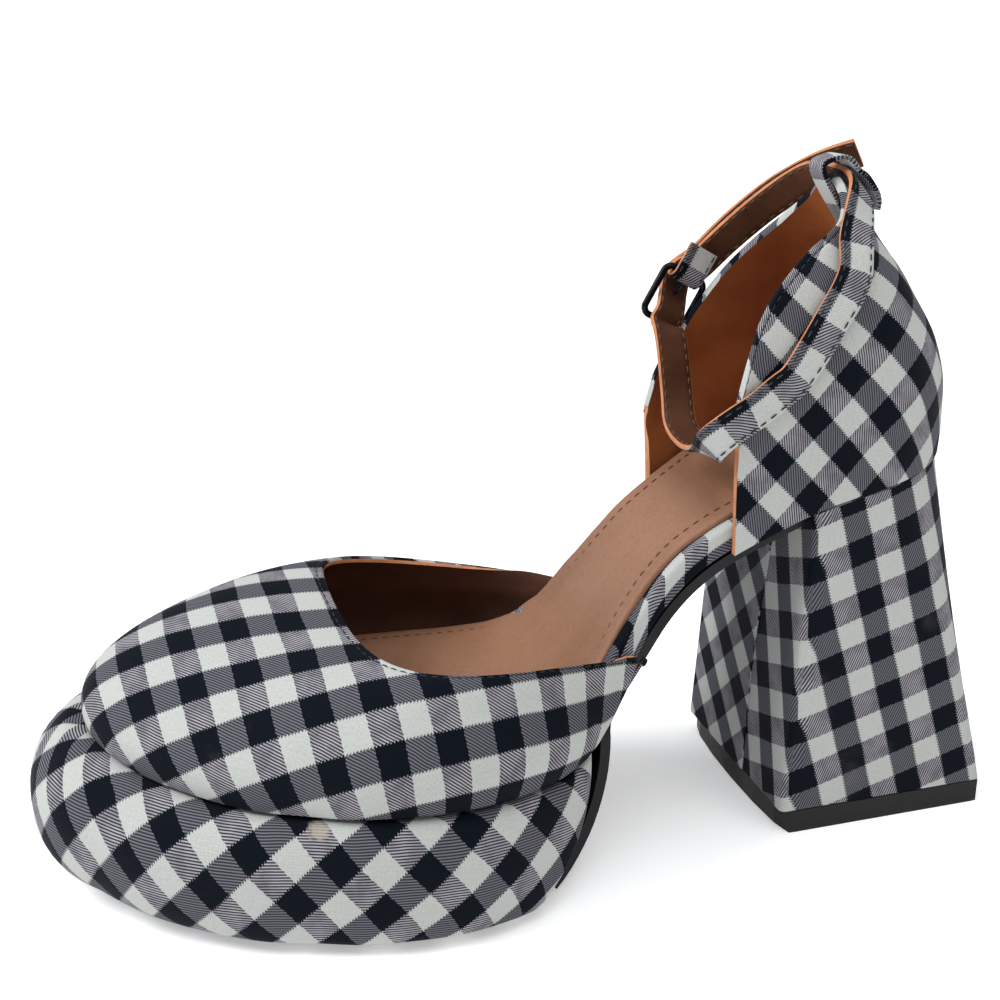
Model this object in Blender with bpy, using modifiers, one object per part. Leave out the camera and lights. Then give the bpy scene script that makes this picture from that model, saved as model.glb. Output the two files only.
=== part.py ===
"""Left platform shoe with a closed toe, open waist, high counter and buckled ankle strap.

Metres, +Z up, the toe points along +X and the outer side of the foot is +Y.
The origin is on the floor at the middle of the heel's top lift.
"""
import math

import bmesh
import bpy
from mathutils import Vector

# Driving dimensions
BED_BACK = -0.0210           # back of the seat, behind the middle of the heel
BED_LENGTH = 0.2190          # feather line in plan, back of the seat to the toe of the vamp
BALL_WIDTH = 0.092           # widest place of the vamp
SEAT_HEIGHT = 0.0975         # feather line at the back of the seat
PLATFORM_HEIGHT = 0.033      # feather line at the ball
TOE_REACH = 0.0150           # how far the platform stands out past the toe of the vamp
CLEAR = 0.0003               # gap between pieces that are cemented together

# Material thicknesses
OUTSOLE_THICK = 0.0026
VAMP_WALL = 0.0018
COUNTER_WALL = 0.0022
SOCK_THICK = 0.0012
LIFT_THICK = 0.0063
STRAP_THICK = 0.0016
TAB_THICK = 0.0013

# Heel block
HEEL_BASE_BACK = -0.0330
HEEL_BASE_FRONT = 0.0280
HEEL_BASE_WIDTH = 0.0600
HEEL_TOP_FRONT = 0.0235
HEEL_CORNER = 0.0030
HEEL_SIDE_INSET = 0.0006     # feather line to the heel's side under the seat
HEEL_BACK_INSET = 0.0        # back of the seat to the back of the heel under it
HEEL_FLARE_POWER = 1.15      # how late the heel takes the seat's outline on its way up

# Strap, loop and buckle
STRAP_WIDTH = 0.0085
TAB_WIDTH = 0.0070
BUCKLE_LONG = 0.0140         # between the frame's cross wires
BUCKLE_WIDE = 0.0125         # between its side wires
BUCKLE_WIRE = 0.0009         # radius of the frame's wire
BUCKLE_CORNER = 0.0022
PRONG_WIRE = 0.0006
BUCKLE_TILT = 60.0           # rise of the frame from the horizontal, in degrees
BUCKLE_PLACE = (0.2730, -0.2830, 0.5000)   # along, across and up, in the shares of STRAP_FRONT

# Sections of the bed. "along" is a share of BED_LENGTH from the back of the seat; "rise" is the
# feather line's height, 0 at PLATFORM_HEIGHT and 1 at SEAT_HEIGHT; "board" is the insole board's
# upright thickness as a share of PLATFORM_HEIGHT; "centre" and "half" are shares of BALL_WIDTH.
BED = (
    # along, rise, board, centre, half
    (0.000, 1.000, 0.160, 0.000, 0.300),
    (0.096, 0.938, 0.170, 0.003, 0.312),
    (0.196, 0.868, 0.185, 0.011, 0.318),
    (0.256, 0.788, 0.205, 0.022, 0.304),
    (0.297, 0.721, 0.221, 0.035, 0.283),
    (0.324, 0.667, 0.227, 0.042, 0.274),
    (0.356, 0.574, 0.258, 0.046, 0.268),
    (0.384, 0.457, 0.282, 0.045, 0.270),
    (0.406, 0.318, 0.348, 0.041, 0.280),
    (0.429, 0.171, 0.424, 0.034, 0.300),
    (0.452, 0.062, 0.424, 0.026, 0.327),
    (0.479, 0.012, 0.339, 0.022, 0.372),
    (0.516, 0.000, 0.242, 0.024, 0.427),
    (0.575, 0.000, 0.182, 0.027, 0.478),
    (0.644, 0.000, 0.167, 0.022, 0.500),
    (0.726, 0.000, 0.167, 0.002, 0.492),
    (0.790, 0.000, 0.167, -0.027, 0.456),
    (0.836, 0.000, 0.167, -0.049, 0.428),
    (0.895, 0.010, 0.167, -0.082, 0.386),
    (0.950, 0.028, 0.167, -0.118, 0.355),
    (1.000, 0.062, 0.167, -0.160, 0.330),
)
BED_COLUMNS = ("along", "rise", "board", "centre", "half")
TOE_POWER = 2.2              # power of the toe's rounding, 2 for an ellipse
TOE_ROUND = 0.208            # length of the rounded toe, as a share of BED_LENGTH
SEAT_ROUND = 0.120           # length of the rounded seat, as a share of BED_LENGTH

# Throat line of the vamp, from the outer wing tip over the throat to the inner wing tip.
# "share" runs along the feather line, "along" is a share of BED_LENGTH, "across" of BALL_WIDTH,
# and "height" is a share of PLATFORM_HEIGHT above the feather line of the ball.
THROAT = (
    # share, along, across, height
    (0.000, 0.403, 0.318, 0.690),
    (0.050, 0.454, 0.352, 0.770),
    (0.130, 0.573, 0.440, 0.880),
    (0.220, 0.663, 0.380, 0.900),
    (0.300, 0.700, 0.245, 0.915),
    (0.400, 0.718, 0.060, 1.010),
    (0.500, 0.724, -0.110, 1.130),
    (0.580, 0.718, -0.225, 1.120),
    (0.680, 0.680, -0.330, 1.030),
    (0.780, 0.594, -0.405, 0.860),
    (0.900, 0.472, -0.370, 0.700),
    (1.000, 0.403, -0.235, 0.640),
)
THROAT_COLUMNS = ("share", "along", "across", "height")
WING_START = 0.403           # where the vamp's wings end, as a share of BED_LENGTH
WING_LENGTH = 0.12           # length of the wings, as a share of BED_LENGTH
BALL_PLACE = 0.62            # middle of the ball, from which the vamp bulges
VAMP_POWER = 1.08            # squareness of the vamp's sections, 1 for an ellipse
VAMP_BULGE = 0.0030          # how far the vamp's side stands out over its feather line
BULGE_SPREAD = 1.25          # how fast the bulge comes and goes with height
BULGE_FADE = 0.5             # share of the bulge that is lost at the top line

# Sections of the counter at heights above the seat's feather line.
# "up" is a share of COUNTER_HEIGHT, "back" is how far the back has moved to the toe, as a share of
# BED_LENGTH, "outer" and "inner" are the half widths as shares of BALL_WIDTH.
COUNTER_HEIGHT = 0.0675
COUNTER = (
    # up, back, outer, inner
    (-0.230, 0.000, 0.310, 0.290),
    (-0.050, -0.003, 0.318, 0.300),
    (0.065, -0.005, 0.324, 0.306),
    (0.230, -0.001, 0.327, 0.304),
    (0.410, 0.016, 0.316, 0.288),
    (0.590, 0.050, 0.286, 0.258),
    (0.685, 0.069, 0.258, 0.232),
    (0.758, 0.086, 0.218, 0.200),
    (0.837, 0.100, 0.165, 0.162),
    (0.916, 0.115, 0.125, 0.128),
    (1.000, 0.137, 0.098, 0.102),
)
COUNTER_COLUMNS = ("up", "back", "outer", "inner")
COUNTER_FRONT_OUTER = 0.298  # front edge of the counter, as a share of BED_LENGTH
COUNTER_FRONT_INNER = 0.311
COUNTER_TAPER_OUTER = 0.040  # how much narrower the counter is at its front edges, as a share
COUNTER_TAPER_INNER = 0.140
COUNTER_TAPER_POWER = 3      # how late along its reach the counter narrows
COUNTER_ROUND_LOW = 0.46     # share of the counter's reach that is rounded, at the seat and at the top
COUNTER_ROUND_HIGH = 0.27
COUNTER_BLEND = 0.35         # height over which the seat's outline becomes the counter's
# Top line of the counter: "reach" runs from the back (0) to the front edge (1), heights are shares
# of COUNTER_HEIGHT above the seat's feather line.
TOPLINE = (
    # reach, outer, inner
    (0.00, 1.000, 1.000),
    (0.12, 0.932, 0.921),
    (0.30, 0.853, 0.822),
    (0.60, 0.758, 0.642),
    (0.79, 0.663, 0.465),
    (0.90, 0.558, 0.310),
    (0.95, 0.464, 0.248),
    (1.00, 0.295, 0.085),
)
TOPLINE_COLUMNS = ("reach", "outer", "inner")

# Strap where it lies on the counter, from the outer front round the back: counter's turn (-1 at
# its outer front edge, 0 at the back) and height, as a share of COUNTER_HEIGHT above the seat.
STRAP_WRAP = (
    # turn, up
    (-0.930, 0.330),
    (-0.890, 0.380),
    (-0.790, 0.542),
    (-0.665, 0.674),
    (-0.560, 0.779),
    (-0.420, 0.869),
    (-0.260, 0.921),
    (-0.120, 0.947),
    (0.030, 0.953),
)
# Strap where it is free. "along" is a share of BED_LENGTH, "across" of BALL_WIDTH and "up" of
# COUNTER_HEIGHT above the seat; the lean points across the band, from its upper or front edge.
STRAP_FRONT = (
    # along, across, up, lean x, lean y, lean z
    (0.2890, -0.2050, 0.369, -1.0, 0.0, 0.00),
    (0.2900, -0.1450, 0.169, -1.0, 0.0, 0.05),
    (0.2950, -0.0850, 0.069, -1.0, 0.0, 0.10),
    (0.2950, 0.0100, 0.032, -1.0, 0.0, 0.05),
    (0.2990, 0.1150, 0.048, -1.0, 0.2, -0.10),
    (0.3150, 0.2150, 0.085, -0.8, 0.4, -0.45),
    (0.3300, 0.3080, 0.153, -0.5, 0.25, -0.80),
    (0.3150, 0.3450, 0.222, -0.5, 0.1, -0.83),
    (0.2850, 0.3350, 0.270, -0.4, 0.1, -0.85),
)
STRAP_FAR = (
    # along, across, up, lean x, lean y, lean z
    (0.1270, -0.1150, 0.971, -0.5, 0.1, -0.85),
    (0.1390, -0.1850, 0.932, -0.5, 0.1, -0.85),
    (0.1690, -0.2450, 0.838, -0.7, 0.1, -0.70),
    (0.2070, -0.2880, 0.715, -0.7, 0.0, -0.70),
    (0.2400, -0.3050, 0.610, -0.75, 0.0, -0.60),
)
STRAP_TAIL = (
    # along, across, up, lean x, lean y, lean z
    (0.0600, -0.1300, 1.060, 0.0, -0.5, -0.85),
    (0.0950, -0.1900, 1.005, -0.2, -0.2, -0.88),
    (0.1180, -0.2350, 0.955, -0.4, 0.1, -0.88),
    (0.1490, -0.2800, 0.880, -0.56, 0.2, -0.80),
    (0.1900, -0.3200, 0.760, -0.71, 0.1, -0.70),
    (0.2280, -0.3350, 0.640, -0.75, 0.0, -0.66),
)
# Strap inside the buckle: place along it as a share of BUCKLE_LONG, and distance out of its
# plane in strap thicknesses.
STRAP_THREAD = (
    # along, out
    (0.42, 2.75),
    (0.16, 1.90),
    (-0.05, 0.20),
    (-0.28, -1.45),
    (-0.52, -1.75),
)
STRAP_SEAT = 0.0010          # extra room between strap and counter
FOLD_LENGTH = 0.0075         # strap's end inside the fold at the buckle
PRONG_OVER = 0.0015          # prong's tip past the lower cross wire
SLOT_WIDE = 0.0020           # width of the slot in the strap for the prong
SLOT_ROWS = (0, 3)           # rows of STRAP_THREAD between which the slot lies
TAB_SPLIT = 0.3              # place of the tab's inner edges across it, as a share of half its width

# Loop at the counter's back. Heights are shares of COUNTER_HEIGHT above the seat, and "stand" is 0
# flat on the counter and 1 over the strap.
LOOP_TURN = -0.06
LOOP_TOP = 1.010
LOOP_OUTSIDE = (
    # up, stand
    (0.76, 0.0),
    (0.80, 0.0),
    (0.86, 1.0),
    (0.90, 1.0),
    (LOOP_TOP, 1.0),
)
LOOP_INSIDE = (LOOP_TOP, 0.86, 0.78)
LOOP_CROSS = (0.3, 0.7)      # places over the counter's edge, from the outside to the inside
LOOP_CROWN = 0.0030
LOOP_SAG = 0.0015            # depth of the counter's curve across the loop's width
LOOP_SLACK = 0.0015

# How far the platform's side stands out of the feather line, as a share of TOE_REACH.
LEDGE = (
    # along, out
    (0.390, 0.10),
    (0.594, 0.24),
    (0.736, 0.34),
    (0.837, 0.58),
    (0.919, 0.80),
    (1.000, 1.00),
)
LEDGE_COLUMNS = ("along", "out")
LEDGE_CROWN = 0.42           # level at which the platform's side stands out most
LEDGE_REACH = 0.70           # levels from there to where it would be flush
LEDGE_POWER = 2.6            # squareness of the side's profile
PLATFORM_LEVELS = (0.0, 0.10, 0.27, 0.45, 0.64, 0.82, 0.94, 1.0)
HEEL_LEVELS = (0.0, 0.2, 0.4, 0.6, 0.8, 1.0)
TOE_SPRING = 0.0035          # how far the platform's underside lifts at its tip
SPRING_START = 0.777         # where that lift starts, as a share of BED_LENGTH
REAR_TOP = 0.449             # back of the platform at its top and at the floor, shares of BED_LENGTH
REAR_FLOOR = 0.523
REAR_ROUND = 0.016           # rounding of the platform's back corners in plan
REAR_POWER = 2.6
TOE_SHARE = 0.6              # share of TOE_REACH that lengthens the platform's rounded toe

# Insets and bends
BOARD_INSET = 0.0028         # feather line to the edge of the insole board
SOCK_INSET = 0.0030          # edge of the board to the edge of the sock
BEND_RADIUS = 0.0012         # outsole's bend at the back of the platform, inner side
BEND_TURN = 66.0             # how far it turns there, in degrees
SOLE_INSET = 0.0055          # platform's lower edge to the outsole's edge on the forepart
WAIST_INSET = 0.0012         # feather line to the outsole's edge under the waist and seat
WAIST_GAP = 0.0035           # from the top of the platform's back to the outsole under the board
BEND_NARROW = 0.22           # how much narrower the outsole is in the bend

# Facets
STATION_COUNT = 42
BEND_START = 0.27
BEND_END = 0.553
SLIDE_ZONE = 0.20
PLATFORM_STATIONS = 30
HEEL_STATIONS = 22
FLOOR_STEPS = 20
BEND_STEPS = 4
CLIMB_STEPS = 3
RIB_STEPS = 4
SLOPE_STEP = 0.0002
TIP = 0.00001                # keeps the outsole's end rows from closing to a point
VAMP_STEPS = 44
VAMP_RISE_STEPS = 9
COUNTER_STEPS = 40
COUNTER_RISE_STEPS = 8
TURN_STEP = 0.02
FOLD_STEPS = 6
BAND_STEPS = 2
CORNER_STEPS = 3

PARTS = "platform_shoe"


def clear_scene():
    for thing in list(bpy.data.objects):
        bpy.data.objects.remove(thing, do_unlink=True)


def make_collection(name):
    group = bpy.data.collections.new(name)
    bpy.context.scene.collection.children.link(group)
    return group


def make_material(name, color, roughness, metallic=0.0):
    material = bpy.data.materials.new(name)
    material.use_nodes = True
    shader = material.node_tree.nodes["Principled BSDF"]
    shader.inputs["Base Color"].default_value = (*color, 1.0)
    shader.inputs["Roughness"].default_value = roughness
    shader.inputs["Metallic"].default_value = metallic
    material.diffuse_color = (*color, 1.0)
    return material


def column(table, columns, name):
    """One named column of a table as a list of (first column, value) pairs."""
    index = columns.index(name)
    return [(row[0], row[index]) for row in table]


def smooth(pairs, x):
    """Monotone cubic curve through (x, y) pairs, level past both ends."""
    if x <= pairs[0][0]:
        return pairs[0][1]
    if x >= pairs[-1][0]:
        return pairs[-1][1]
    slopes = [(b[1] - a[1]) / (b[0] - a[0]) for a, b in zip(pairs, pairs[1:])]
    index = max(i for i in range(len(pairs) - 1) if pairs[i][0] <= x)

    def tangent(i):
        if i == 0:
            return slopes[0]
        if i == len(pairs) - 1:
            return slopes[-1]
        left, right = slopes[i - 1], slopes[i]
        if left * right <= 0:
            return 0.0
        return 2 * left * right / (left + right)

    (x0, y0), (x1, y1) = pairs[index], pairs[index + 1]
    step = x1 - x0
    t = (x - x0) / step
    return ((1 + 2 * t) * (1 - t) ** 2 * y0 + t * (1 - t) ** 2 * step * tangent(index)
            + t * t * (3 - 2 * t) * y1 + t * t * (t - 1) * step * tangent(index + 1))


def table_value(table, columns, name, x):
    return smooth(column(table, columns, name), x)


def along_of(x):
    return (x - BED_BACK) / BED_LENGTH


def x_of(along):
    return BED_BACK + along * BED_LENGTH


def feather_height(x):
    """Height of the line where the uppers turn under the bed."""
    rise = table_value(BED, BED_COLUMNS, "rise", along_of(x))
    return PLATFORM_HEIGHT + rise * (SEAT_HEIGHT - PLATFORM_HEIGHT)


def bed_top(x):
    """Height of the insole board's upper face."""
    board = table_value(BED, BED_COLUMNS, "board", along_of(x))
    return feather_height(x) + board * PLATFORM_HEIGHT


def bed_slope(x):
    step = SLOPE_STEP
    return (feather_height(x + step) - feather_height(x - step)) / (2 * step)


def centre_line(x):
    return BALL_WIDTH * table_value(BED, BED_COLUMNS, "centre", along_of(x))


def half_width(x):
    return BALL_WIDTH * table_value(BED, BED_COLUMNS, "half", along_of(x))


def round_end(distance, length, power):
    """1 away from an end of an outline, falling to 0 on it like a superellipse."""
    if distance >= length:
        return 1.0
    return max(0.0, 1 - (1 - max(distance, 0.0) / length) ** power) ** (1 / power)


def outline_side(x, side, back, front, grow):
    """Y of the feather outline at x, grown sideways, between the given ends."""
    toe = round_end(front - x, TOE_ROUND * BED_LENGTH + (front - x_of(1)), TOE_POWER)
    seat = round_end(x - back, SEAT_ROUND * BED_LENGTH, 2.0)
    return centre_line(x) + side * (half_width(x) + grow) * toe * seat


def bed_stations():
    """Shares of the bed's length that every piece on it uses, so that their facets lie alike."""
    shares = [(1 - math.cos(math.pi * i / STATION_COUNT)) / 2 for i in range(STATION_COUNT + 1)]
    middles = [(a + b) / 2 for a, b in zip(shares, shares[1:]) if BEND_START < a < BEND_END]
    return sorted(shares + middles)


def slid_stations(back, front):
    """The bed's stations for an outline with its own ends, unchanged along the waist."""
    places = []
    for share in bed_stations():
        x = x_of(share)
        x += (back - BED_BACK) * max(0.0, 1 - share / SLIDE_ZONE)
        x += (front - x_of(1)) * max(0.0, 1 - (1 - share) / SLIDE_ZONE)
        places.append(x)
    return places


def build_mesh(name, verts, faces, material, group):
    mesh = bpy.data.meshes.new(name)
    mesh.from_pydata(verts, [], faces)
    mesh.validate()
    body = bmesh.new()
    body.from_mesh(mesh)
    bmesh.ops.remove_doubles(body, verts=body.verts, dist=1e-6)
    bmesh.ops.recalc_face_normals(body, faces=body.faces)
    body.to_mesh(mesh)
    body.free()
    mesh.materials.append(material)
    mesh.shade_smooth()
    mesh.set_sharp_from_angle(angle=math.radians(40))
    thing = bpy.data.objects.new(name, mesh)
    group.objects.link(thing)
    return thing


def strip_faces(rows, cols, around=False):
    """Quads of a grid of rows by cols; around closes each row on itself."""
    faces = []
    last = cols if around else cols - 1
    for r in range(rows - 1):
        for c in range(last):
            d = (c + 1) % cols
            faces.append((r * cols + c, r * cols + d, (r + 1) * cols + d, (r + 1) * cols + c))
    return faces


def slot_faces(faces, cols, slots):
    """Faces of a band of eight-sided rings with slots through its middle columns."""
    top, bottom = (1, 2), (5, 6)
    kept = []
    for index, face in enumerate(faces):
        row, col = divmod(index, cols)
        slotted = any(first <= row < last for first, last in slots)
        if not (slotted and col in (top[0], bottom[0])):
            kept.append(face)
    for first, last in slots:
        for row in range(first, last):
            low, high = row * cols, (row + 1) * cols
            kept.append((low + top[0], high + top[0], high + bottom[1], low + bottom[1]))
            kept.append((low + top[1], low + bottom[0], high + bottom[0], high + top[1]))
        for row in (first, last):
            kept.append(tuple(row * cols + c for c in top + bottom))
    return kept


def loft(name, rings, material, group, slots=()):
    """Closed solid through rings of equal length, capped by a fan about each end's middle."""
    cols = len(rings[0])
    verts = [point for ring in rings for point in ring]
    faces = strip_faces(len(rings), cols, around=True)
    if slots:
        faces = slot_faces(faces, cols, slots)
    for base, ring in ((0, rings[0]), ((len(rings) - 1) * cols, rings[-1])):
        middle = sum((Vector(point) for point in ring), Vector()) / cols
        verts.append(tuple(middle))
        faces += [(base + c, base + (c + 1) % cols, len(verts) - 1) for c in range(cols)]
    return build_mesh(name, verts, faces, material, group)


def plate(name, count, levels, edge, inner, material, group):
    """Closed solid: side levels round an outline, with its two faces gridded from side to side.

    edge(i, side, level) gives the point of station i, 0 at the back and count at the front, where
    both sides meet; inner(x, face) is the height of the lower face (0) or the upper one (1).
    """
    turns = 2 * count
    rings = []
    for level in levels:
        outer = [edge(i, 1, level) for i in range(count + 1)]
        rings.append(outer + [edge(i, -1, level) for i in range(count - 1, 0, -1)])
    verts = [point for ring in rings for point in ring]
    faces = strip_faces(len(rings), turns, around=True)
    for face, base in ((0, 0), (1, (len(rings) - 1) * turns)):
        ribs = {}
        for i in range(1, count):
            a, b = Vector(verts[base + i]), Vector(verts[base + turns - i])
            ribs[i] = [base + i]
            for k in range(1, RIB_STEPS):
                point = a.lerp(b, k / RIB_STEPS)
                verts.append((point.x, point.y, inner(point.x, face)))
                ribs[i].append(len(verts) - 1)
            ribs[i].append(base + turns - i)
        for k in range(RIB_STEPS):
            faces.append((base, ribs[1][k], ribs[1][k + 1]))
            faces.append((base + count, ribs[count - 1][k], ribs[count - 1][k + 1]))
            for i in range(1, count - 1):
                faces.append((ribs[i][k], ribs[i][k + 1], ribs[i + 1][k + 1], ribs[i + 1][k]))
    return build_mesh(name, verts, faces, material, group)


def shell(name, rows, thickness, offset, material, group):
    """Open surface given as rows of points, thickened by Solidify."""
    verts = [point for row in rows for point in row]
    thing = build_mesh(name, verts, strip_faces(len(rows), len(rows[0])), material, group)
    solid = thing.modifiers.new("wall", "SOLIDIFY")
    solid.thickness = thickness
    solid.offset = offset
    solid.use_even_offset = True
    return thing


def face_outward(thing, middle):
    """Turn an open surface's normals away from a point."""
    mesh = thing.data
    total = sum((face.normal.dot(face.center - middle) * face.area for face in mesh.polygons))
    if total < 0:
        mesh.flip_normals()


def underside(x):
    """Height of the outsole's upper face on the forepart, with its toe spring."""
    start = x_of(SPRING_START)
    end = x_of(1) + TOE_REACH
    lift = TOE_SPRING * max(0.0, (x - start) / (end - start)) ** 2
    return OUTSOLE_THICK + lift


def ledge(x, level):
    """How far the platform's side stands out at a level, 0 at its underside and 1 at its top."""
    out = TOE_REACH * table_value(LEDGE, LEDGE_COLUMNS, "out", along_of(x))
    return out * (1 - abs((level - LEDGE_CROWN) / LEDGE_REACH) ** LEDGE_POWER)


def platform_edge(station, side, level):
    """Point of the platform's side; its back is cut across and leans to the toe at the floor."""
    rear = x_of(REAR_FLOOR + (REAR_TOP - REAR_FLOOR) * level)
    front = x_of(1) + ledge(x_of(1), level)
    x = rear + (front - rear) * (1 - math.cos(math.pi * station / PLATFORM_STATIONS)) / 2
    toe = round_end(front - x, TOE_ROUND * BED_LENGTH + TOE_REACH * TOE_SHARE, TOE_POWER)
    back = round_end(x - rear, REAR_ROUND, REAR_POWER)
    y = centre_line(x) + side * (half_width(x) + ledge(x, level)) * toe * back
    low = underside(x) + CLEAR
    high = feather_height(x) - CLEAR
    return x, y, low + (high - low) * level


def make_platform(material, group):
    def inner(x, face):
        return underside(x) + CLEAR if face == 0 else feather_height(x) - CLEAR

    return plate("platform", PLATFORM_STATIONS, PLATFORM_LEVELS, platform_edge, inner, material, group)


def make_bed_plate(name, inset, lower, upper, material, group):
    """Flat piece on the bed, its outline inset from the feather line on all sides."""
    back = BED_BACK + inset
    front = x_of(1) - inset
    places = slid_stations(back, front)

    def edge(station, side, level):
        x = places[station]
        y = outline_side(x, side, back, front, -inset)
        return x, y, lower(x) + (upper(x) - lower(x)) * level

    def inner(x, face):
        return upper(x) if face else lower(x)

    return plate(name, len(places) - 1, (0.0, 1.0), edge, inner, material, group)


def make_insole_board(material, group):
    def lower(x):
        return feather_height(x) + CLEAR

    return make_bed_plate("insole_board", BOARD_INSET, lower, bed_top, material, group)


def make_sock_lining(material, group):
    def lower(x):
        return bed_top(x) + CLEAR

    def upper(x):
        return lower(x) + SOCK_THICK * upright_stretch(x)

    return make_bed_plate("sock_lining", BOARD_INSET + SOCK_INSET, lower, upper, material, group)


def upright_stretch(x):
    """Upright thickness of a sheet that lies on the sloping bed."""
    return math.sqrt(1 + bed_slope(x) ** 2)


def outsole_path():
    """Outsole's line from the toe's tip along the floor, up the platform's back and under the waist."""
    toe = x_of(1) + ledge(x_of(1), 0.0) - SOLE_INSET
    bend = x_of(REAR_FLOOR) - 2 * CLEAR
    path = []
    for i in range(FLOOR_STEPS):
        x = toe + (bend - toe) * (1 - math.cos(math.pi * i / (FLOOR_STEPS - 1))) / 2
        path.append((x, underside(x)))
    for i in range(1, BEND_STEPS + 1):
        turn = math.radians(BEND_TURN * i / BEND_STEPS)
        path.append((bend - BEND_RADIUS * math.sin(turn), OUTSOLE_THICK + BEND_RADIUS * (1 - math.cos(turn))))
    waist = [x for x in slid_stations(BED_BACK + WAIST_INSET, x_of(1))
             if x < x_of(REAR_TOP) - WAIST_GAP]
    top = waist[-1]
    x0, z0 = path[-1]
    for k in range(1, CLIMB_STEPS):
        share = k / CLIMB_STEPS
        path.append((x0 + (top - x0) * share, z0 + (feather_height(top) - CLEAR - z0) * share))
    path += [(x, feather_height(x) - CLEAR) for x in reversed(waist)]
    return path


def make_outsole(material, group):
    """Thin sheet with a rounded toe and seat, thickened downwards."""
    path = outsole_path()
    front = path[0][0]
    rows = []
    for i, (x, z) in enumerate(path):
        on_floor = i < FLOOR_STEPS + BEND_STEPS
        toe = round_end(front - x + TIP, TOE_ROUND * BED_LENGTH, TOE_POWER)
        seat = round_end(x - BED_BACK - WAIST_INSET + TIP, SEAT_ROUND * BED_LENGTH, 2.0)
        edge = ledge(x, 0.0) - SOLE_INSET if on_floor else -WAIST_INSET
        corner = round_end(x - path[FLOOR_STEPS - 1][0], REAR_ROUND, REAR_POWER) if on_floor else 1.0
        half = (half_width(x) + edge) * toe * seat * (1 - BEND_NARROW * (1 - corner))
        rows.append([(x, centre_line(x) + half * k, z) for k in (-1, -0.5, 0, 0.5, 1)])
    thing = shell("outsole", rows, OUTSOLE_THICK, -1, material, group)
    face_outward(thing, Vector((x_of(BALL_PLACE), 0.0, -SEAT_HEIGHT)))
    return thing


def throat_point(share):
    along = table_value(THROAT, THROAT_COLUMNS, "along", share)
    across = table_value(THROAT, THROAT_COLUMNS, "across", share)
    height = table_value(THROAT, THROAT_COLUMNS, "height", share)
    return Vector((x_of(along), BALL_WIDTH * across, PLATFORM_HEIGHT * (1 + height)))


def feather_point(share):
    """Point of the vamp's lower edge; share runs from the outer wing tip over the toe to the inner."""
    reach = 1 - abs(2 * share - 1)
    start = x_of(WING_START)
    x = start + (x_of(1) - start) * (1 - (1 - reach) ** 2)
    side = 1 if share < 0.5 else -1
    y = outline_side(x, side, BED_BACK, x_of(1), 0.0)
    return Vector((x, y, feather_height(x) + 3 * CLEAR * upright_stretch(x)))


def vamp_point(share, lift):
    """Point of the vamp's outer face, lift running from its feather line (0) to its top line (1)."""
    low, high = feather_point(share), throat_point(share)
    swing = math.pi / 2 * lift
    inward = 1 - math.cos(swing) ** VAMP_POWER
    upward = math.sin(swing) ** VAMP_POWER
    plan = low.xy.lerp(high.xy, inward)
    height = low.z + (high.z - low.z) * upward
    wing = min(1.0, (low.x - x_of(WING_START)) / (WING_LENGTH * BED_LENGTH))
    ball = x_of(BALL_PLACE)
    out = (low.xy - Vector((ball, centre_line(ball)))).normalized()
    belly = VAMP_BULGE * wing * math.sin(math.pi * min(1.0, upward * BULGE_SPREAD))
    plan += out * (belly * (1 - BULGE_FADE * upward))
    return plan.x, plan.y, height


def make_vamp(material, group):
    shares = [i / VAMP_STEPS for i in range(VAMP_STEPS + 1)]
    lifts = [i / VAMP_RISE_STEPS for i in range(VAMP_RISE_STEPS + 1)]
    rows = [[vamp_point(share, lift) for share in shares] for lift in lifts]
    thing = shell("vamp", rows, VAMP_WALL, -1, material, group)
    face_outward(thing, Vector((x_of(0.6), 0.0, PLATFORM_HEIGHT)))
    return thing


def counter_side(turn):
    """Column, sign of Y, front edge and taper of the side on which turn lies."""
    if turn < 0:
        return "outer", 1, x_of(COUNTER_FRONT_OUTER), COUNTER_TAPER_OUTER
    return "inner", -1, x_of(COUNTER_FRONT_INNER), COUNTER_TAPER_INNER


def counter_skin(turn, z):
    """Point of the counter's outer face at height z, -1 to 1 from the outer front edge round the back."""
    key, side, front, taper = counter_side(turn)
    reach = turn * turn
    up = (z - SEAT_HEIGHT) / COUNTER_HEIGHT
    back = BED_BACK + BED_LENGTH * table_value(COUNTER, COUNTER_COLUMNS, "back", up)
    wide = BALL_WIDTH * table_value(COUNTER, COUNTER_COLUMNS, key, up) * (1 - taper * reach ** COUNTER_TAPER_POWER)
    rounding = COUNTER_ROUND_LOW + (COUNTER_ROUND_HIGH - COUNTER_ROUND_LOW) * max(0.0, min(1.0, up))
    ring = side * wide * round_end(reach, rounding, 2.0)
    foot_x = BED_BACK + (front - BED_BACK) * reach
    foot_z = feather_height(foot_x) + CLEAR
    foot = outline_side(foot_x, side, BED_BACK, x_of(1), 0.0)
    blend = max(0.0, min(1.0, (z - foot_z) / (COUNTER_BLEND * COUNTER_HEIGHT)))
    blend = blend * blend * (3 - 2 * blend)
    return Vector((back + (front - back) * reach, foot + (ring - foot) * blend, z))


def counter_point(turn, lift):
    """Point of the counter's outer face, lift running from the feather line (0) to its top line (1)."""
    key, side, front, _ = counter_side(turn)
    reach = turn * turn
    top = SEAT_HEIGHT + COUNTER_HEIGHT * table_value(TOPLINE, TOPLINE_COLUMNS, key, reach)
    foot_z = feather_height(BED_BACK + (front - BED_BACK) * reach) + CLEAR
    return tuple(counter_skin(turn, foot_z + (top - foot_z) * lift))


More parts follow.
